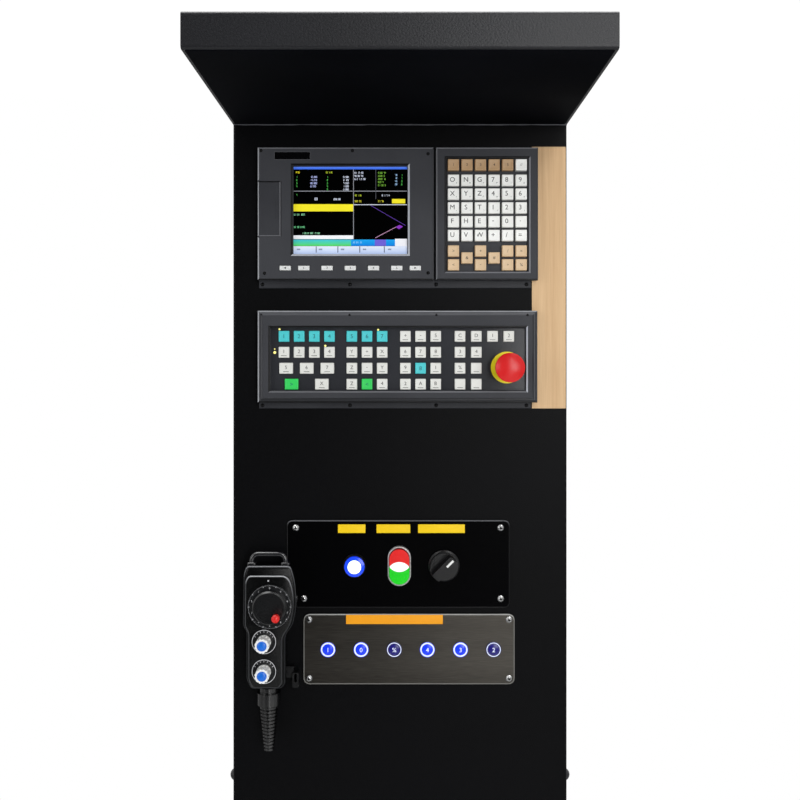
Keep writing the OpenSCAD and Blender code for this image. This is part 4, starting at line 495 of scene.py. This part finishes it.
across = np.stack([-along[:, 1], along[:, 0]], axis=1) / np.linalg.norm(along, axis=1)[:, None] * 0.36
start, end = ends[:, 0], ends[:, 1]
corners = np.stack([end + across, end - across, start - across, start + across], axis=1)
gem = np.array([[[-6.4, 1476.6], [-0.6, 1479.4], [4.4, 1477.0], [-1.6, 1473.2]]])
tool_path = upright(np.concatenate([corners, gem]).reshape(-1, 2), path_y)
path_tint = np.repeat(np.array([rgb(96, 66, 160), rgb(206, 156, 190), rgb(138, 60, 190)]), 4, axis=0)
points, faces = gather([picture[:2], (tool_path, np.arange(12).reshape(3, 4).tolist())])
put("screen_picture", points, faces, "screen",
    finish("lit_screen", (0.8, 0.8, 0.8, 1), (0.7, 0.7, 0.72, 1), (0.12, 0.2), 2600, 30, 0.02, tint=True,
           Emission_Strength=0.42, shine=0.05),
    smooth=False, tint=np.concatenate([picture[2], path_tint]))
dress(finish("screen_film", rgb(8, 9, 11), rgb(14, 15, 18), (0.1, 0.18), 2000, 12, 0.02,
             shine=0.1), "lcd_panel")


# Soft keys: seven light grey keys under the screen, the outer two for paging.
# They are moulded in one tool, stand a little out of the bezel and are printed in black.
def keycaps(keys, y, tall):
    """Moulded keys (x, z, width, height, colour) on the plane y, as rings of a rounded rectangle.

    Ring r is drawn in by inset[r] and stands rise[r] out; the last ring closes over a shallow dish.
    """
    keys_at = np.array([k[:4] for k in keys], float)
    inset = np.array([0, 0.05, 0.16, 0.45, 0.95, 1.7, 2.8, 4.2])
    rise = tall * np.array([0, 0.62, 0.80, 0.93, 0.99, 0.99, 0.955, 0.93])
    angle = np.radians(np.array([0, 22.5, 45, 67.5, 90]))
    turn = (angle[None, :] + np.radians([[0], [90], [180], [270]])).ravel()
    side = np.repeat(np.array([[1, 1], [-1, 1], [-1, -1], [1, -1]]), 5, axis=0)
    radius = np.maximum(1.0 - inset, 0.35)[None, :, None, None]
    half = keys_at[:, None, None, 2:4] / 2 - inset[None, :, None, None]
    flat = side * (half - radius) + radius * np.stack([np.cos(turn), np.sin(turn)], axis=1)
    flat = flat + keys_at[:, None, None, 0:2]
    out = np.broadcast_to(y - rise[None, :, None], flat.shape[:3])
    points = np.stack([flat[..., 0], out, flat[..., 1]], axis=-1)
    count, rows, cols = flat.shape[:3]
    quads, at = ring_faces(rows, cols)
    start = np.arange(count)[:, None, None] * rows * cols
    faces = (np.array(quads)[None] + start).reshape(-1, 4).tolist()
    faces += (at[-1][None] + start[:, 0]).tolist()
    tint = np.repeat(np.array([k[4] for k in keys], float), rows * cols, axis=0)
    return points.reshape(-1, 3), faces, tint


glyphs = {}


def lettering(marks, y):
    """Flat marks (sign, x, z, size) on the plane y, each a filled letter outline about its own middle."""
    parts = []
    for sign, x, z, size in marks:
        if sign not in glyphs:
            curve = bpy.data.curves.new("sign", "FONT")
            curve.body = sign
            curve.resolution_u = 3
            holder = bpy.data.objects.new("sign", curve)
            scene.collection.objects.link(holder)
            shown = holder.evaluated_get(bpy.context.evaluated_depsgraph_get())
            drawn = bpy.data.meshes.new_from_object(shown)
            flat = np.zeros(len(drawn.vertices) * 3)
            drawn.vertices.foreach_get("co", flat)
            flat = flat.reshape(-1, 3)[:, :2]
            middle = (flat.max(0) + flat.min(0)) / 2
            glyphs[sign] = (flat - middle, [list(p.vertices) for p in drawn.polygons])
            bpy.data.meshes.remove(drawn)
            bpy.data.objects.remove(holder)
            bpy.data.curves.remove(curve)
        flat, polygons = glyphs[sign]
        parts.append((upright(flat * size + [x, z], y), polygons))
    return gather(parts)


key_white, key_grey = rgb(250, 250, 246), rgb(232, 233, 232)
key_plastic = finish("key_plastic", (1, 1, 1, 1), (0.93, 0.93, 0.92, 1), (0.36, 0.48), 1400, 25, 0.15,
                     tint=True)
ink = finish("key_ink", rgb(22, 22, 24), rgb(34, 34, 36), (0.4, 0.5), 800, 40, 0.05)
soft_z, soft_y, soft_sign_y = 1417, -203, -215.3
soft_xs = -71 + np.array([-2.8, -2, -1, 0, 1, 2, 2.8]) * 33.15
points, faces, tint = keycaps([(x, soft_z, 16.8, 7.3, key_grey) for x in soft_xs], soft_y, 12.6)
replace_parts(put("soft_key_caps", points, faces, "white_keys", key_plastic, tint=tint),
            "soft_keys")
arrow = np.array([[-1.7, 0], [1.2, 1.5], [1.2, -1.5]])
arrows = np.concatenate([arrow + [soft_xs[0], soft_z], arrow[::-1] * [-1, 1] + [soft_xs[6], soft_z]])
digits = lettering([(s, x, soft_z, 5.0) for s, x in zip("12345", soft_xs[1:6])], soft_sign_y)
points, faces = gather([(upright(arrows, soft_sign_y), [[0, 2, 1], [3, 5, 4]]), digits])
put("soft_key_signs", points, faces, "black_plastic", ink, smooth=False)

# Keypad: six columns of square keys in a recess of the right bezel, white for signs and tan for functions.
# Each cap is moulded with a shallow dish and printed in black.
cap, pitch = 16.4, 19.68
recess_y, print_y = -209, -215.62
column = 124.6 + (np.arange(6) - 2.5) * 19.3416
foot_rows = 122.92 + np.array([0, pitch, pitch / 2])
row_z = 1564.2 - np.concatenate([[0], 22 + np.arange(5) * pitch, foot_rows])
brown, tan = rgb(188, 152, 112), rgb(222, 190, 150)
white_keys = [(column[5], row_z[0], cap, cap, key_white)]
white_keys += [(x, z, cap, cap, key_white) for z in row_z[1:6] for x in column]
tan_keys = [(x, row_z[0], cap, cap, brown) for x in column[:5]]
tan_keys += [(column[c], row_z[r], cap, cap, tan) for c in (0, 2, 4, 5) for r in (6, 7)]
tan_keys += [(column[c], row_z[8], cap, cap, tan) for c in (1, 3)]
for name, keys, node_name, slot in (("white_key_caps", white_keys, "mdi_white_keys", "white_keys"),
                                    ("tan_key_caps", tan_keys, "mdi_tan_keys", "tan_keys")):
    points, faces, tint = keycaps(keys, recess_y, 7)
    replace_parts(put(name, points, faces, slot, key_plastic, tint=tint), node_name)
marks = [(s, k[0] - 1.6, k[1] + 0.8, 9.6) for s, k in zip("ONG789XYZ456MST123FHE-0.UVW+/=", white_keys[1:])]
marks += [(s, k[0] + 4.6, k[1] - 4.6, 4.4) for s, k in zip("ABCDJKLPQRI#*()?,!", white_keys[1:])]
top_row = [white_keys[0]] + tan_keys[:5]
marks += [(s, k[0], k[1], 5.4) for s, k in zip(("//", "1", "2", "3", "4", "5"), top_row)]
marks += [(s, k[0], k[1], 6.2) for s, k in zip("><+-/*=%&#", tan_keys[5:])]
put("keypad_legends", *lettering(marks, print_y), "black_plastic", ink, smooth=False)

# Operator panel: a charcoal frame round a glossy dark film, with four groups of short-travel keys.
# Teal keys choose the mode, two green ones start a cycle, and small lamps in the film show what is on.
dress(finish("gloss_overlay", rgb(44, 45, 48), rgb(60, 61, 65), (0.1, 0.2), 2200, 5, 0.05,
             shine=0.3), "operator_overlay")
film_y, legend_y = -207, -210.84
pitch_x, pitch_z, first_z = 21.7025, 22.873, 1319.7
group_x = np.cumsum([-166.2, 3 * pitch_x + 32.1, 2 * pitch_x + 33.3, 2 * pitch_x + 34.8])
panel_white, teal, leaf = rgb(232, 232, 226), rgb(72, 206, 212), rgb(46, 214, 92)
narrow, wide, tall = 15.4, 19.6, 15.8
last_step = 3.22 / 3
white_at = [(0, c, 1, narrow) for c in range(4)] + [(0, 1.5 + (c - 1) * 1.36, 2, wide) for c in range(3)]
white_at += [(0, 2.5, 3, wide)] + [(1, c, r, narrow) for c in range(3) for r in (1, 2)]
white_at += [(1, c, 3, narrow) for c in (0, 2)]
white_at += [(2, c, r, narrow) for r in range(4) for c in ((0, 2) if r == 2 else (0, 1, 2))]
white_at += [(3, c * last_step, r, narrow) for r in range(4) for c in (range(4) if r == 0 else range(2))]
teal_at = [(0, c, 0, narrow) for c in range(4)] + [(1, c, 0, narrow) for c in range(3)]
teal_at += [(2, 1, 2, narrow)]
green_at = [(0, 0.5, 3, wide), (1, 1, 3, narrow)]


def panel_keys(places, colour):
    """Keys (x, z, width, height, colour) from their group, column, row and width."""
    return [(group_x[g] + c * pitch_x, first_z - r * pitch_z, w, tall, colour) for g, c, r, w in places]


white_panel = panel_keys(white_at, panel_white)
colour_panel = panel_keys(teal_at, teal) + panel_keys(green_at, leaf)
for name, keys, node_name, slot in (
        ("panel_white_caps", white_panel, "operator_white_keys", "white_keys"),
        ("panel_colour_caps", colour_panel, "operator_colour_keys", "colour_keys")):
    points, faces, tint = keycaps(keys, film_y, 4)
    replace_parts(put(name, points, faces, slot, key_plastic, tint=tint), node_name)
signs = "1234567XYZ+-XYZ4+-5678912ABCD1234%"
marks = [(s, k[0], k[1] + 1.2, 7.2) for s, k in zip(signs, white_panel)]
bars = [(k[0] - 4, k[1] - 5.6, k[0] + 4, k[1] - 4.6, key_white, 0) for k in white_panel]
points, faces = gather([lettering(marks, legend_y), sheet_of_patches(bars, legend_y)[:2]])
put("panel_legends", points, faces, "black_plastic", ink, smooth=False)
marks = [(s, k[0], k[1], 8.0) for s, k in zip("12345678><", colour_panel)]
put("panel_colour_legends", *lettering(marks, legend_y), "black_plastic",
    finish("key_teal_ink", rgb(8, 84, 96), rgb(12, 98, 104), (0.4, 0.5), 800, 40, 0.05), smooth=False)


def turned(profile, x, y, z, around=32, closed=True):
    """Surface of revolution on an axis to the front: (r, h) turns to x + r cos a, y - h, z + r sin a."""
    profile = np.asarray(profile, float)
    a = np.linspace(0, 2 * np.pi, around, endpoint=False)
    out = np.broadcast_to(y - profile[:, 1:], (len(profile), around))
    points = np.stack([x + profile[:, :1] * np.cos(a), out, z + profile[:, :1] * np.sin(a)], axis=-1)
    faces, at = ring_faces(len(profile), around)
    return points.reshape(-1, 3), faces + ([at[-1].tolist()] if closed else [])


def dome(radius, rise, rings=5, side=0.0):
    """Profile of a low cap from the rim almost to the middle: radius cos t across, side + rise sin t out.

    With a side it stands on a straight wall of that height.
    """
    t = np.linspace(0, np.pi / 2 * 0.97, rings)
    cap = np.column_stack([radius * np.cos(t), side + rise * np.sin(t)])
    return np.concatenate([[[radius, 0]], cap]) if side else cap


lamps_at = [(-172.9, 1329.8, 1.5), (-31.4, 1329.1, 1.5), (-107.2, 1306.2, 1.5), (-179.8, 1296.5, 2.0),
            (-179.8, 1301.5, 1.0)]
points, faces = gather([turned(dome(r, 0.8), x, film_y, z, 16) for x, z, r in lamps_at])
put("key_lamps", points, faces, "yellow",
    finish("lit_yellow", rgb(246, 236, 130), rgb(250, 244, 170), (0.2, 0.3), 900, 300, 0.05,
           Emission_Color=rgb(255, 240, 120), Emission_Strength=0.7))

# Emergency stop: a red mushroom head on a plunger, a black collar and a yellow disc behind it.
# The head is moulded and glossy, and is turned to let it go.
dress(finish("safety_yellow", rgb(255, 236, 10), rgb(248, 222, 8), (0.36, 0.5), 900, 20, 0.2),
      "estop_plate")
dress(finish("stop_red", rgb(226, 30, 32), rgb(212, 24, 26), (0.28, 0.4), 900, 16, 0.12), "estop_head")
black_plastic = finish("black_plastic", rgb(11, 11, 13), rgb(22, 22, 24), (0.28, 0.4), 1300, 16, 0.3,
                       shine=0.4)
dress(black_plastic, "estop_body")
dress(zinc, "estop_plunger")

# Trim strip: a bare strip of brushed bronze-coloured aluminium beside the two units, stuck on.
# The brushing runs upwards, and the edges catch the light.
dress(finish("brushed_bronze", rgb(186, 151, 112), rgb(210, 178, 138), (0.4, 0.54), 900, 90, 0.25,
             stretch=(1, 1, 0.02), Metallic=0.25, shine=0.25), "trim_strip")

# Button plate: a black coated plate on four screws, with a lamp button, a twin button and a selector.
# Three bare yellow tags are stuck above the switches. The steel plate's tag and screws are made alike.
plate_y, screw_y, switch_z = -203, -205.62, 990
dress(finish("plate_black", rgb(3, 3, 5), rgb(7, 7, 10), (0.34, 0.48), 1500, 6, 0.3,
             shine=0.03), "button_plate")


def sheet_rim(outline, y, lit_tone, low_tone):
    """Rounded cut edge of a plate: a narrow ring on its outline, with a painted highlight where it looks
    up.
    """
    rings = [(-0.05, -1.2), (-0.05, 0), (0.25, 0.34), (0.9, 0.4), (1.5, 0.05)]
    run = np.roll(outline, -1, axis=0) - np.roll(outline, 1, axis=0)
    up = np.clip(-run[:, 0] / np.linalg.norm(run, axis=1), 0, 1)[:, None]
    tones = np.array(low_tone) + (np.array(lit_tone) - np.array(low_tone)) * up
    return (*pressed(outline, rings, y, closed=False), np.tile(tones, (len(rings), 1)))


rim_painted_highlight = finish("rim_painted_highlight", (1, 1, 1, 1), (0.8, 0.8, 0.8, 1), (0.3, 0.45), 900, 40, 0.1, tint=True,
                    shine=0.2)
# The button plate's rim is tinted with a painted highlight where its edge looks up.
points, faces, tint = sheet_rim(box_outline(-163, 929, 158, 1055, 9), plate_y,
                                rgb(96, 97, 100), rgb(18, 18, 20))
put("button_plate_rim", points, faces, "powder_coat", rim_painted_highlight, tint=tint)
dress(black_plastic, "lamp_housing", "selector_housing", "selector_knob")
tag_yellow, tag_orange = rgb(255, 212, 10), rgb(250, 164, 22)
tag_rings = [(0, 0), (0, 0.55), (0.2, 0.75), (0.6, 0.8)]
tags = [(-69.5, 1043, 39.6, 12.4, tag_yellow), (-9.5, 1043, 48.6, 12.4, tag_yellow),
        (59.6, 1043, 67.4, 12.4, tag_yellow), (-8, 912.4, 139.4, 13.4, tag_orange)]
shapes = [pressed(box_outline(x - w / 2, z - h / 2, x + w / 2, z + h / 2, 0.7), tag_rings, plate_y)
          for x, z, w, h, colour in tags]
points, faces = gather(shapes)
tint = np.repeat(np.array([t[4] for t in tags]), [len(s[0]) for s in shapes], axis=0)
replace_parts(put("label_tag_plates", points, faces, "yellow",
                finish("tag_enamel", (1, 1, 1, 1), (0.9, 0.9, 0.88, 1), (0.4, 0.52), 1000, 30, 0.1,
                       tint=True, shine=0.3), tint=tint), "label_tags")
dress(finish("screw_steel", rgb(176, 177, 178), rgb(206, 206, 204), (0.2, 0.36), 500, 60, 0.15,
             Metallic=1.0), "plate_screws")
screw_at = [(-150, 1044), (145, 1044), (145, 942), (-138.5, 942), (-131, 827.2), (157, 827.2),
            (-131, 911.8), (157, 911.8)]
socket = [(1.9, -0.2), (1.9, 0.02), (1.6, 0.05)]
points, faces = gather([turned(socket, x, screw_y, z, 6) for x, z in screw_at])
put("screw_sockets", points, faces, "black_plastic", screw_black, smooth=False)
dress(finish("blue_lens", rgb(22, 62, 206), rgb(34, 80, 224), (0.14, 0.24), 900, 80, 0.08,
             Emission_Color=rgb(16, 50, 230), Emission_Strength=0.6), "lamp_button")
put("lamp_lens", *turned(dome(9.6, 1.0, side=0.5), -65.2, -213.9, switch_z), "blue_lens",
    finish("lit_lens", rgb(236, 244, 255), rgb(220, 236, 255), (0.15, 0.25), 600, 200, 0.05,
           Emission_Color=(0.85, 0.93, 1, 1), Emission_Strength=1.5), body="lamp_button")


def stadium(x, z, wide, high, steps=15):
    """Upright outline of two half circles joined by straight sides, anticlockwise from the right."""
    a = np.linspace(0, np.pi, steps)
    top = np.column_stack([x + wide / 2 * np.cos(a), z + (high - wide) / 2 + wide / 2 * np.sin(a)])
    return np.concatenate([top, 2 * np.array([x, z]) - top])


twin_rings = [(0, 0), (0, 4.6), (0.4, 5.6), (1.1, 6), (2.0, 5.9), (2.5, 5.2), (2.6, 1)]
points, faces = pressed(stadium(-1, switch_z, 33.6, 57), twin_rings, plate_y, closed=False)
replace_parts(put("twin_button_frame", points, faces, "silver_plastic",
                finish("silver_plastic", rgb(186, 187, 188), rgb(206, 206, 205), (0.2, 0.34), 800, 40, 0.12,
                       Metallic=0.55)), "twin_housing")
dress(finish("button_red", rgb(242, 36, 32), rgb(226, 26, 26), (0.2, 0.32), 900, 30, 0.12), "stop_button")
dress(finish("button_green", rgb(8, 222, 26), rgb(6, 206, 22), (0.2, 0.32), 900, 30, 0.12), "start_button")
dress(finish("white_lens", rgb(252, 252, 252), rgb(244, 245, 245), (0.16, 0.28), 900, 60, 0.06,
             Emission_Color=(1, 1, 1, 1), Emission_Strength=0.25), "twin_lens")
diagonal = np.array([[1, 1], [-1, 1]])
marker = np.array([[4.3, -1.5], [17.2, -1.5], [17.2, 1.5], [4.3, 1.5]]) @ diagonal * 0.7071
put("selector_marker", upright(marker + [63.2, switch_z], -227.62), [[0, 1, 2, 3]], "white_lens",
    finish("marker_white", rgb(240, 240, 236), rgb(226, 226, 222), (0.4, 0.5), 900, 60, 0.1),
    body="selector", smooth=False)

# Steel plate: brushed stainless sheet on four screws, with six round ring buttons and one bare orange tag.
# The brushing runs across; the buttons have blue lit faces with a white ring and a sign.
dress(finish("brushed_steel", rgb(56, 54, 51), rgb(88, 85, 80), (0.26, 0.38), 1600, 14, 0.2,
             stretch=(0.03, 1, 1), Metallic=1.0), "steel_plate")
dress(finish("ring_steel", rgb(92, 94, 102), rgb(120, 122, 130), (0.2, 0.34), 700, 80, 0.12, Metallic=1.0),
      "steel_button_rings")
# The steel plate's rim is tinted with a painted highlight where its edge looks up.
points, faces, tint = sheet_rim(box_outline(-139, 819, 165, 920, 10), plate_y,
                                rgb(176, 176, 172), rgb(118, 117, 113))
put("steel_plate_rim", points, faces, "steel", rim_painted_highlight, tint=tint)
bright = finish("button_blue", rgb(18, 52, 210), rgb(28, 70, 226), (0.2, 0.3), 900, 90, 0.08,
                Emission_Color=rgb(12, 40, 230), Emission_Strength=0.4)
deep = finish("button_dark_blue", rgb(26, 22, 96), rgb(38, 34, 118), (0.2, 0.3), 900, 90, 0.08,
              Emission_Color=rgb(24, 20, 110), Emission_Strength=0.25)
ring_white = finish("ring_white", rgb(226, 232, 250), rgb(206, 216, 246), (0.3, 0.4), 900, 90, 0.05,
                    Emission_Color=(0.8, 0.86, 1, 1), Emission_Strength=0.4)
button_xs = -103.5 + np.arange(6) * 47.6
button_z, ring_y, sign_y = 869.5, -205.38, -206.72
for number, (x, sign) in enumerate(zip(button_xs, "10%432"), 1):
    dark = number in (3, 6)
    blue = deep if dark else bright
    dress(blue, f"push_button_{number}")
    put(f"button_sign_{number}", *lettering([(sign, x, button_z, 9.0)], sign_y), "white_lens", ring_white,
        body=f"push_button_{number}", smooth=False)
    halos = ((10.9, 10.2), (9.0, 8.2)) if dark else ((10.9, 10.3),)
    points, faces = gather([turned([(r, 0), (r, 0.28), (q, 0.3), (q, 0)], x, ring_y, button_z, closed=False)
                            for r, q in halos])
    put(f"button_halo_{number}", points, faces, "blue_lens", blue)
    inner = 9.2 if dark else 8.2
    ring = [(10.2, 0), (10.2, 0.34), (inner, 0.36), (inner, 0)]
    put(f"button_ring_{number}", *turned(ring, x, ring_y, button_z, closed=False), "white_lens", ring_white)

# Hand pendant: a two-part moulded body that hangs in its holder by the plate, with a dial and two knobs.
# The body is satin black, the knobs white with blue caps, and a ribbed boot guards the cable's way out.
pendant_black = finish("pendant_black", rgb(5, 6, 7), rgb(12, 13, 14), (0.2, 0.3), 1500, 12, 0.3,
                       shine=0.3)
dress(pendant_black, "enable_button")
back_outline = rounded_outline([
    (-209, 824, 3), (-167, 824, 4), (-161.5, 831, 3), (-161.5, 899, 6), (-150.5, 914, 7), (-145, 942, 12),
    (-148, 976, 9), (-154, 996, 5), (-216, 996, 5), (-219.5, 984, 4), (-220.5, 912, 3), (-215.5, 904, 3),
    (-215.5, 837, 5)])
face_outline = rounded_outline([
    (-206, 827, 3), (-170, 827, 3), (-165, 833, 3), (-165, 897, 6), (-153.5, 915, 7), (-148, 942, 12),
    (-150, 967, 9), (-157, 984, 9), (-212, 984, 4), (-216.4, 976, 4), (-217, 914, 3), (-212, 903, 3),
    (-212, 839, 5)])
back_rings = [(3, 0), (0.8, 0.6), (0, 2.4), (0, 21), (0.5, 23.4), (1.6, 25.2), (3.4, 26)]
face_rings = [(0, 0), (0, 5.2), (0.4, 6.6), (1.2, 7.6), (2.4, 8)]
for name, outline, rings, y in (("pendant_back_shell", back_outline, back_rings, -207),
                                ("pendant_face_plate", face_outline, face_rings, -232)):
    points, faces = pressed(outline, rings, y)
    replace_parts(put(name, points, faces, "black_plastic", pendant_black), "pendant_body")
# The pendant's edge rims are tinted with a painted highlight where they look up.
edges = [sheet_rim(face_outline, -239.7, rgb(190, 191, 194), rgb(58, 59, 61)),
         sheet_rim(back_outline, -232.6, rgb(146, 147, 150), rgb(44, 45, 47))]
points, faces = gather([e[:2] for e in edges])
put("pendant_edges", points, faces, "black_plastic", rim_painted_highlight,
    tint=np.concatenate([e[2] for e in edges]))


def bent_bar(path, radius, around=14):
    """Round bar along an upright path: point + radius (cos a, sin a) on its normal and the depth."""
    run = np.gradient(path[:, [0, 2]], axis=0)
    run /= np.linalg.norm(run, axis=1)[:, None]
    a = np.linspace(0, 2 * np.pi, around, endpoint=False)
    points = np.stack([path[:, :1] - radius * np.cos(a) * run[:, 1:], path[:, 1:2] + radius * np.sin(a),
                       path[:, 2:] + radius * np.cos(a) * run[:, :1]], axis=-1)
    at = np.arange(points.shape[0] * around).reshape(-1, around)
    near = np.roll(at, -1, axis=1)
    faces = np.stack([at[:-1], at[1:], near[1:], near[:-1]], axis=-1).reshape(-1, 4).tolist()
    return points.reshape(-1, 3), faces + [at[0].tolist(), at[-1][::-1].tolist()]


left, right, foot, top = -209.5, -162, 990, 1011
loop = rounded_outline([(left, foot, 0.1), (right, foot, 0.1), (right, top, 11), (left, top, 11)], 10)[19:]
loop = np.concatenate([loop, [[left, foot]]])
ear_rings = [(0, 0), (0, 9), (0.4, 10.2), (1.2, 10.8), (2.2, 11)]
ears = [pressed(box_outline(x - 6, 987, x + 6, 1000, 2.5), ear_rings, -218) for x in (left, right)]
points, faces = gather([bent_bar(upright(loop, -223.5), 3.6), *ears])
loop_plastic = finish("loop_plastic", rgb(22, 22, 24), rgb(36, 36, 39), (0.16, 0.26), 1200, 30, 0.12,
                      shine=0.9)
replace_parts(put("pendant_loop", points, faces, "black_plastic", loop_plastic), "pendant_hanger")
dress(finish("boot_rubber", rgb(7, 7, 8), rgb(14, 14, 16), (0.2, 0.3), 800, 40, 0.1,
             shine=1.0), "pendant_gland")
dress(black_plastic, "pendant_holder")
dress(finish("scale_black", rgb(14, 15, 17), rgb(28, 29, 31), (0.22, 0.34), 1200, 30, 0.15,
             shine=0.6), "pendant_scales")
dress(finish("dial_black", rgb(11, 12, 14), rgb(22, 23, 25), (0.22, 0.34), 1200, 20, 0.2,
             shine=0.6), "pendant_dial")
dress(finish("spinner_red", rgb(236, 40, 34), rgb(218, 32, 28), (0.22, 0.32), 900, 60, 0.1), "dial_spinner")
dress(finish("knob_white", rgb(252, 252, 249), rgb(242, 242, 238), (0.3, 0.42), 1000, 60, 0.03),
      "axis_knob", "rate_knob")
cap_blue = finish("cap_blue", rgb(18, 100, 212), rgb(26, 114, 222), (0.2, 0.3), 900, 90, 0.1)
knob_x, knob_y, knob_zs = -190, -259.8, {"axis_knob": 891.94, "rate_knob": 850.488}
for knob, z in knob_zs.items():
    put(knob + "_cap", *turned(dome(6.8, 2.4, 7, side=0.8), knob_x, knob_y, z), "blue_lens", cap_blue,
        body=knob)


def strokes(centre, radius, width, turn):
    """Short radial bars on an upright plane: each runs over its radii at the angle turn, width across."""
    out = np.stack([np.cos(turn), np.sin(turn)], axis=1)
    side = np.stack([-np.sin(turn), np.cos(turn)], axis=1) * width[:, None] / 2
    low, high = out * radius[:, :1], out * radius[:, 1:]
    ring = np.stack([low - side, high - side, high + side, low + side], axis=1) + np.array(centre)
    return ring.reshape(-1, 2), np.arange(len(turn) * 4).reshape(-1, 4).tolist()


dial_x, dial_z, dial_y, knob_scale_y = -182, 940.96, -241.68, -240.8
major = np.arange(100) % 10 == 0
radii = np.column_stack([np.where(major, 28.2, 29.3), np.full(100, 30.3)])
turns = np.radians(np.arange(0, 360, 3.6))
flat, faces = strokes((dial_x, dial_z), radii, np.where(major, 0.7, 0.28), turns)
spots = np.radians(np.arange(10) * 36.0 + 90)
digits = [(str(n), dial_x + 26.2 * np.cos(a), dial_z + 26.2 * np.sin(a), 3.8) for n, a in enumerate(spots)]
dial_marks = [(upright(flat, dial_y), faces), lettering(digits, dial_y)]
angles = np.radians(np.arange(30, 151, 20))
knob_ring = [(16.9, 0.02), (16.9, 0.1), (16.1, 0.1), (16.1, 0.02)]
for z in knob_zs.values():
    flat, faces = strokes((knob_x, z), np.tile([[13.2, 15.4]], (len(angles), 1)),
                          np.full(len(angles), 0.7), angles)
    dial_marks += [(upright(flat, knob_scale_y - 0.08), faces),
                   turned(knob_ring, knob_x, knob_scale_y, z, 48, closed=False)]
dial_marks.append(turned(dome(1.2, 0.3), -184, -240, 977, 16))
put("pendant_graduations", *gather(dial_marks), "silver_plastic",
    finish("silver_ink", rgb(196, 197, 200), rgb(214, 214, 216), (0.3, 0.42), 900, 60, 0.05), smooth=False)


# Fronts of the devices: terminal plugs, switch levers, windows and moulded flaps that face the rear door.
# They are plastic, and are plugged into the housings or snapped on.
def behind(points):
    """The same points turned half round the upright axis to face the rear: x and y change sign."""
    return points * np.array([-1, -1, 1])


drive_xs = np.array([-1, 0, 1]) * 88.0 - 20
drive_z, drive_high, breaker_z, relay_z = 480, 262, 866, 315
plug_green, lever_blue, window = rgb(46, 132, 84), rgb(40, 74, 150), rgb(24, 26, 30)
flap, clamp, relay = rgb(98, 100, 105), rgb(214, 214, 208), rgb(214, 128, 40)
blocks = [(x, drive_z + drive_high * (0.153 + k * 0.1756), 40, 20, 74.5, plug_green, 9)
          for x in drive_xs for k in range(3)]
blocks += [(x, drive_z + drive_high * 0.847, 34, 18, 73.4, window, 1.2) for x in drive_xs]
blocks += [(x, drive_z + drive_high * 0.73, 44, 22, 74.0, flap, 1.4) for x in drive_xs]
blocks += [(-98.9 + i * 18.2, breaker_z, 6.4, 11, 21.4, lever_blue, 1.6) for i in range(4)]
blocks += [(2.3 + i * 50.2, breaker_z, 26, 30, 31.2, window, 1.4) for i in range(2)]
blocks += [(-150.1, 836, 46, 26, 54.2, plug_green, 4), (135, breaker_z, 70, 40, 21.8, flap, 1.3)]
blocks += [(35.1 + i * 34.2, relay_z, 16, 24, 15.4, relay, 2.2) for i in range(4)]
blocks += [(-165.9 + i * 8.2, relay_z, 6.4, 9, -10.9, clamp if i % 5 else plug_green, 0.7)
           for i in range(20)]
shapes = [pressed(box_outline(-x - w / 2, z - h / 2, -x + w / 2, z + h / 2, min(w, h) * 0.12),
                  [(0, 0), (0, thick * 0.8), (min(0.4, thick * 0.4), thick)], thick - front)
          for x, z, w, h, front, tone, thick in blocks]
points, faces = gather(shapes)
tint = np.repeat(np.array([b[5] for b in blocks]), [len(s[0]) for s in shapes], axis=0)
put("device_fronts", behind(points), faces, "device_plastic",
    finish("device_front_plastic", (1, 1, 1, 1), (0.88, 0.88, 0.87, 1), (0.38, 0.5), 900, 30, 0.12,
           tint=True), tint=tint)

# Door gasket: a foam strip round the inside of the rear door, pressed flat where the shell's rim meets it.
# It is glued on in one length, with the joint at a corner.
points, faces, tint = bead(-232, 96, 232, 1610, 11, [rgb(30, 30, 31)] * 4, y=198)
put("door_gasket", points, faces, "rubber",
    finish("gasket_foam", (1, 1, 1, 1), (0.7, 0.7, 0.7, 1), (0.7, 0.85), 500, 40, 0.5, tint=True),
    body="door", tint=tint)
